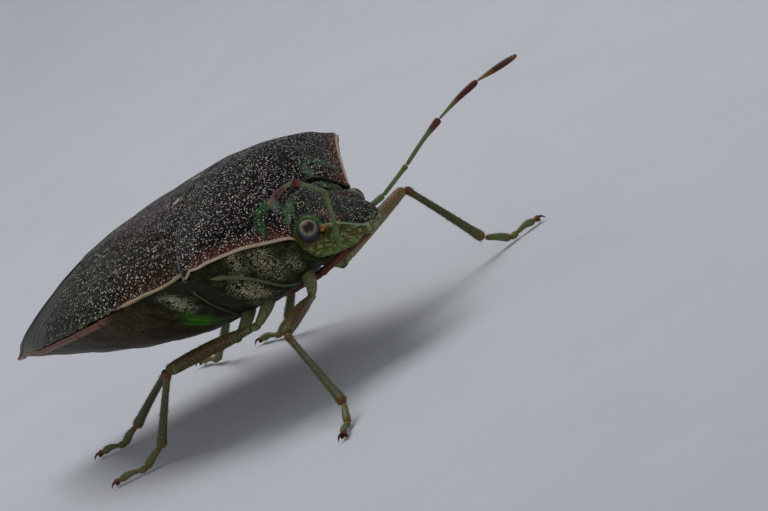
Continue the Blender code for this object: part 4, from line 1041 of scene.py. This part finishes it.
# Legs: hip piece and ring at its end, thigh, grooved shin and three-jointed foot with two claws and a pad. The
# cuticle is pale green at the hips, speckled brown on the thighs and green on the shins.
SOLE_Z = -4.855
LEG_JOINTS = {
    "front_right": [(0.98, -0.92, -1.72), (1.13, -1.16, -2.20), (1.05, -1.30, -2.52), (1.96, -4.00, -2.48),
                    (3.57, -5.21, -4.50), (4.26, -6.62, -4.83)],
    "front_left": [(0.62, 0.78, -2.05), (0.50, 0.82, -2.36), (0.50, 1.02, -2.66), (1.50, 3.65, -1.99),
                   (2.04, 4.82, -4.43), (2.70, 6.19, -4.83)],
    "middle_right": [(-0.38, -1.10, -2.10), (-0.62, -1.30, -2.42), (-0.95, -1.55, -2.70), (-2.60, -3.80, -2.42),
                     (-4.75, -3.17, -4.50), (-6.20, -3.68, -4.83)],
    "middle_left": [(-0.38, 1.10, -2.10), (-0.60, 1.34, -2.42), (-0.88, 1.60, -2.70), (-2.75, 3.75, -2.30),
                    (-5.00, 4.15, -4.48), (-6.45, 4.50, -4.83)],
    "hind_right": [(-1.25, -1.08, -2.22), (-1.48, -1.25, -2.55), (-1.82, -1.50, -2.86), (-4.95, -1.20, -3.12),
                   (-7.65, -0.45, -4.52), (-9.05, -0.60, -4.83)],
    "hind_left": [(-1.25, 1.08, -2.22), (-1.48, 1.28, -2.55), (-1.82, 1.56, -2.84), (-4.75, 2.90, -2.35),
                  (-7.35, 3.90, -4.50), (-8.75, 4.45, -4.83)]}
COXA_SHAPE = [(0, 0.22), (0.35, 0.19), (0.7, 0.145), (1, 0.11)]
RING_SHAPE = [(0, 0.09), (0.5, 0.115), (1, 0.10)]
FEMUR_SHAPE = [(0, 0.09), (0.08, 0.11), (0.28, 0.16), (0.55, 0.19), (0.80, 0.17), (0.93, 0.15), (1, 0.11)]
TIBIA_SHAPE = [(0, 0.10), (0.05, 0.115), (0.12, 0.095), (0.5, 0.105), (0.82, 0.125), (0.96, 0.145), (1, 0.11)]
FOOT_SHAPES = [[(0, 0.07), (0.3, 0.09), (0.8, 0.115), (1, 0.09)], [(0, 0.06), (0.5, 0.095), (1, 0.07)],
               [(0, 0.05), (0.4, 0.08), (0.8, 0.10), (1, 0.06)]]
# Leg cuticle: satin, with fine dark specks that are densest on the thighs. The front left thigh is paler.
coxa_cuticle = ramp_cuticle("hip_cuticle", [(0.0, "39401f"), (0.4, "6a7044"), (1.0, "8b8a60")], 0.45, 0.5, "2c2a14")
femur_cuticle = ramp_cuticle(
    "thigh_cuticle", [(0.0, "82825a"), (0.12, "787448"), (0.32, "6e5a34"), (0.60, "66492a"), (0.84, "5f5030"),
                      (0.93, "666e3e"), (1.0, "63421f")], 0.45, 0.8, "21160b")
pale_femur_cuticle = ramp_cuticle(
    "pale_thigh_cuticle", [(0.0, "a39d6c"), (0.35, "8f8656"), (0.7, "7d6848"), (1.0, "84643e")],
    0.45, 0.4, "3f351a")
tibia_cuticle = ramp_cuticle(
    "shin_cuticle", [(0.0, "65371e"), (0.07, "6e4826"), (0.16, "5a5837"), (0.55, "515337"), (0.88, "58613c"),
                     (0.95, "78582c"), (1.0, "643a18")], 0.45, 0.55, "211d0d")
foot_cuticle = ramp_cuticle(
    "foot_cuticle", [(0.0, "7a5428"), (0.25, "6c6838"), (0.6, "5e7046"), (0.85, "6c6434"), (1.0, "7a4a1c")],
    0.42, 0.25, "33280f")
claw_cuticle = ramp_cuticle("claw_cuticle", [(0.0, "7a4a1e"), (0.5, "4a2412"), (1.0, "140a06")], 0.3, 0.1)


def shin_grooves(t, turn):
    """Three shallow grooves along the shin, as a share of its radius."""
    middle = ramp(t, 0.1, 0.15) * (1 - ramp(t, 0.88, 0.08))
    return 1 - 0.10 * middle * max(bump(turn - at, 0.35) for at in (math.pi / 2, -math.pi / 6, -5 * math.pi / 6))


def hair_coat(name, tubes, thickness, material):
    """Fine hairs that lean along their tubes, each (tube, way, count, length), as one piece with its own map.

    Blender lists a ball's faces in another order each run, so they are sorted, and the hairs stay in place.
    """
    corners, faces, places, along_marks = [], [], [], []
    for band, (tube, way, count, length) in enumerate(tubes):
        polygons = sorted(tube.data.polygons, key=lambda polygon: sorted(polygon.vertices))
        along = tube.data.attributes["along"].data
        around = tube.data.attributes["around"].data
        for polygon in random.choices(polygons, [polygon.area for polygon in polygons], k=count):
            first = min(polygon.vertices)
            t, turn = along[first].value, around[first].value
            root = polygon.center.lerp(tube.data.vertices[first].co, random.uniform(-0.4, 0.8))
            side = way.cross(polygon.normal).normalized()
            lean = random.uniform(0.25, 0.65)
            reach = length * random.uniform(0.6, 1.2)
            tip = root + (polygon.normal * lean + way + side * random.uniform(-0.3, 0.3)).normalized() * reach
            base = root - polygon.normal * 0.01
            start = len(corners)
            corners += [base + side * thickness, base - side * thickness * 0.5 + way * thickness,
                        base - side * thickness * 0.5 - way * thickness, tip]
            faces += [(start, start + 1, start + 3), (start + 1, start + 2, start + 3), (start + 2, start, start + 3)]
            middle = (0.01 + 0.97 * min(max(turn, 0.0), 1.0), (band + 0.02 + 0.95 * t) / len(tubes))
            spread = ((-0.0015, -0.0015), (0.0015, -0.0015), (0.0, 0.0015), (0.0, 0.0))
            places += [(middle[0] + du, middle[1] + dv) for du, dv in spread]
            along_marks += [(band + t) / len(tubes)] * 4
    mesh = bpy.data.meshes.new(name)
    mesh.from_pydata(corners, [], faces)
    laid_out = mesh.uv_layers.new(name="OFBake")
    for loop in mesh.loops:
        laid_out.data[loop.index].uv = places[loop.vertex_index]
    shade = mesh.attributes.new("along", "FLOAT", "POINT")
    for i, value in enumerate(along_marks):
        shade.data[i].value = value
    coat = bpy.data.objects.new(name, mesh)
    bpy.context.scene.collection.objects.link(coat)
    mesh.update()
    settle(coat, material, "thigh_cuticle")


# Leg hairs: clear pale bristles 0.06 to 0.17 mm long, drawn 0.01 mm thick at the root so that they show.
HAIR_ROOT = 0.0055
hair_cuticle = ramp_cuticle(
    "pale_leg_bristles", [(0.0, "807e58"), (0.2, "857650"), (0.32, "7c6a48"), (0.42, "736e48"), (0.66, "7a7a56"),
                          (1.0, "8c7048")], 0.5)
random.seed(11)


def bent(a, b, lift):
    """Three points of a limb's middle line, arched upward by the lift."""
    return [a, a.lerp(b, 0.5) + Vector((0, 0, lift)), b]


for leg, joints in LEG_JOINTS.items():
    hip_root, hip, trochanter, knee, ankle, toe = (Vector(joint) for joint in joints)
    toward_knee = (knee - trochanter).normalized()
    coxa = join([limb("coxa", [hip_root, hip, trochanter], COXA_SHAPE, 32, 28, (0.15, 0.12), (1, 0.2, 0.1)),
                 limb("ring", [trochanter + toward_knee * way for way in (-0.10, 0.06, 0.22)], RING_SHAPE, 28, 20,
                      (0.3, 0.3))], "coxa_" + leg + "_piece")
    settle(coxa, coxa_cuticle, "hip_cuticle", "coxa_" + leg)
    femur = limb("femur_" + leg + "_tube", bent(trochanter + toward_knee * 0.1, knee, 0.05), FEMUR_SHAPE, 36, 60,
                 (0.05, 0.05))
    tibia = limb("tibia_" + leg + "_tube", bent(knee, ankle, 0.02), TIBIA_SHAPE, 36, 60, (0.04, 0.05),
                 shape=shin_grooves)
    ahead = Vector((toe.x - ankle.x, toe.y - ankle.y, 0)).normalized()
    reach = (toe - ankle).length
    first_end, second_end, tip = (
        Vector((ankle.x, ankle.y, 0)) + ahead * reach * share + Vector((0, 0, SOLE_Z + rise))
        for share, rise in ((0.44, 0.0), (0.60, 0.015), (0.99, 0.005)))
    foot = join([limb("toe", bent(ankle + ahead * 0.04, first_end, 0.03), FOOT_SHAPES[0], 24, 24, (0.1, 0.1)),
                 limb("toe", bent(first_end - ahead * 0.03, second_end, 0.0), FOOT_SHAPES[1], 24, 16, (0.2, 0.2)),
                 limb("toe", bent(second_end - ahead * 0.03, tip, 0.05), FOOT_SHAPES[2], 24, 24, (0.12, 0.1))],
                "foot_" + leg)
    hair_coat("hairs_" + leg, [(femur, toward_knee, 460, 0.10), (tibia, (ankle - knee).normalized(), 560, 0.14),
                               (foot, ahead, 160, 0.10)], HAIR_ROOT, hair_cuticle)
    settle(femur, pale_femur_cuticle if leg == "front_left" else femur_cuticle, "thigh_cuticle", "femur_" + leg)
    settle(tibia, tibia_cuticle, "shin_cuticle", "tibia_" + leg)
    settle(foot, foot_cuticle, "foot_cuticle", "tarsus_" + leg)
    hooks = []
    for side in SIDES.values():
        out = Matrix.Rotation(side * math.radians(30), 3, "Z") @ ahead
        hook = [tip - ahead * 0.05, tip + out * 0.10 + Vector((0, 0, 0.04)), tip + out * 0.22 + Vector((0, 0, 0.02)),
                tip + out * 0.31 + Vector((0, 0, -0.08))]
        pad = [tip - ahead * 0.03 + out * 0.02, tip + out * 0.09 + Vector((0, 0, -0.03)),
               tip + out * 0.16 + Vector((0, 0, -0.06))]
        hooks.append(limb("claw", hook, [(0, 0.05), (0.4, 0.04), (0.8, 0.02), (1, 0.006)], 12, 16, (0.1, 0.05)))
        hooks.append(limb("claw", pad, [(0, 0.04), (0.6, 0.05), (1, 0.03)], 12, 12, (0.2, 0.3)))
    claws = join(hooks, "claws_" + leg)
    settle(claws, claw_cuticle, "foot_cuticle")


# Stand: a plain pale floor and soft studio light from a large overhead panel, with a weaker fill from the front
# right, where the camera is.
floor = primitive("studio_floor", bpy.ops.mesh.primitive_plane_add, size=3.0)
paper, tree, shader = new_material("matt_paper_floor", 0.9)
place = add(tree, "TexCoord").outputs["Object"]
fibre = add(tree, "TexNoise", {"Vector": place, "Scale": 220.0, "Detail": 4.0}).outputs["Fac"]
tone = add(tree, "Mix", {0: fibre, 6: colour("c6c8cd"), 7: colour("cfd1d6")}, data_type="RGBA").outputs[2]
plug(tree, shader, {"Base Color": tone})
floor.data.materials.append(paper)

world = bpy.data.worlds.new("studio_world")
bpy.context.scene.world = world
world.use_nodes = True
plug(world.node_tree, world.node_tree.nodes["Background"], {"Color": colour("dfe4ec"), "Strength": 0.335})


def softbox(name, place, target, size, power):
    light = bpy.data.lights.new(name, "AREA")
    light.shape = "SQUARE"
    light.size = size
    light.energy = power
    lamp = bpy.data.objects.new(name, light)
    bpy.context.scene.collection.objects.link(lamp)
    lamp.location = place
    lamp.rotation_euler = (Vector(target) - Vector(place)).to_track_quat("-Z", "Y").to_euler()


softbox("overhead_panel", (-0.02, 0.02, 0.11), (0, 0, 0.004), 0.07, 0.062)
softbox("front_fill", (0.10, -0.09, 0.05), (0, 0, 0.004), 0.05, 0.018)

# Camera: it looks down slightly from the bug's front right, from far off, as the photo's long lens does.
RIGHT = Vector((0.7159, 0.4882, -0.4992))
UP = Vector((0.2637, 0.4731, 0.8406))
TOWARD = Vector((0.6465, -0.7334, 0.2099))
PIXELS_PER_MM = 37.158
ORIGIN_X, ORIGIN_Y = 261.83, 205.61
DISTANCE = 402.63
WIDTH, HEIGHT = 768, 511
camera_data = bpy.data.cameras.new("photo_camera")
camera = bpy.data.objects.new("photo_camera", camera_data)
bpy.context.scene.collection.objects.link(camera)
eye_point = (RIGHT * ((WIDTH / 2 - ORIGIN_X) / PIXELS_PER_MM) - UP * ((HEIGHT / 2 - ORIGIN_Y) / PIXELS_PER_MM)
             + TOWARD * DISTANCE)
turn = Matrix((RIGHT, UP, TOWARD)).transposed().to_4x4()
camera.matrix_world = Matrix.Translation(BODY_ORIGIN + eye_point * MM) @ turn
camera_data.sensor_width = 36.0
camera_data.lens = 36.0 * DISTANCE / (WIDTH / PIXELS_PER_MM)
camera_data.clip_start = 0.01
camera_data.clip_end = 10.0
bpy.context.scene.camera = camera
bpy.context.scene.view_settings.view_transform = "Standard"
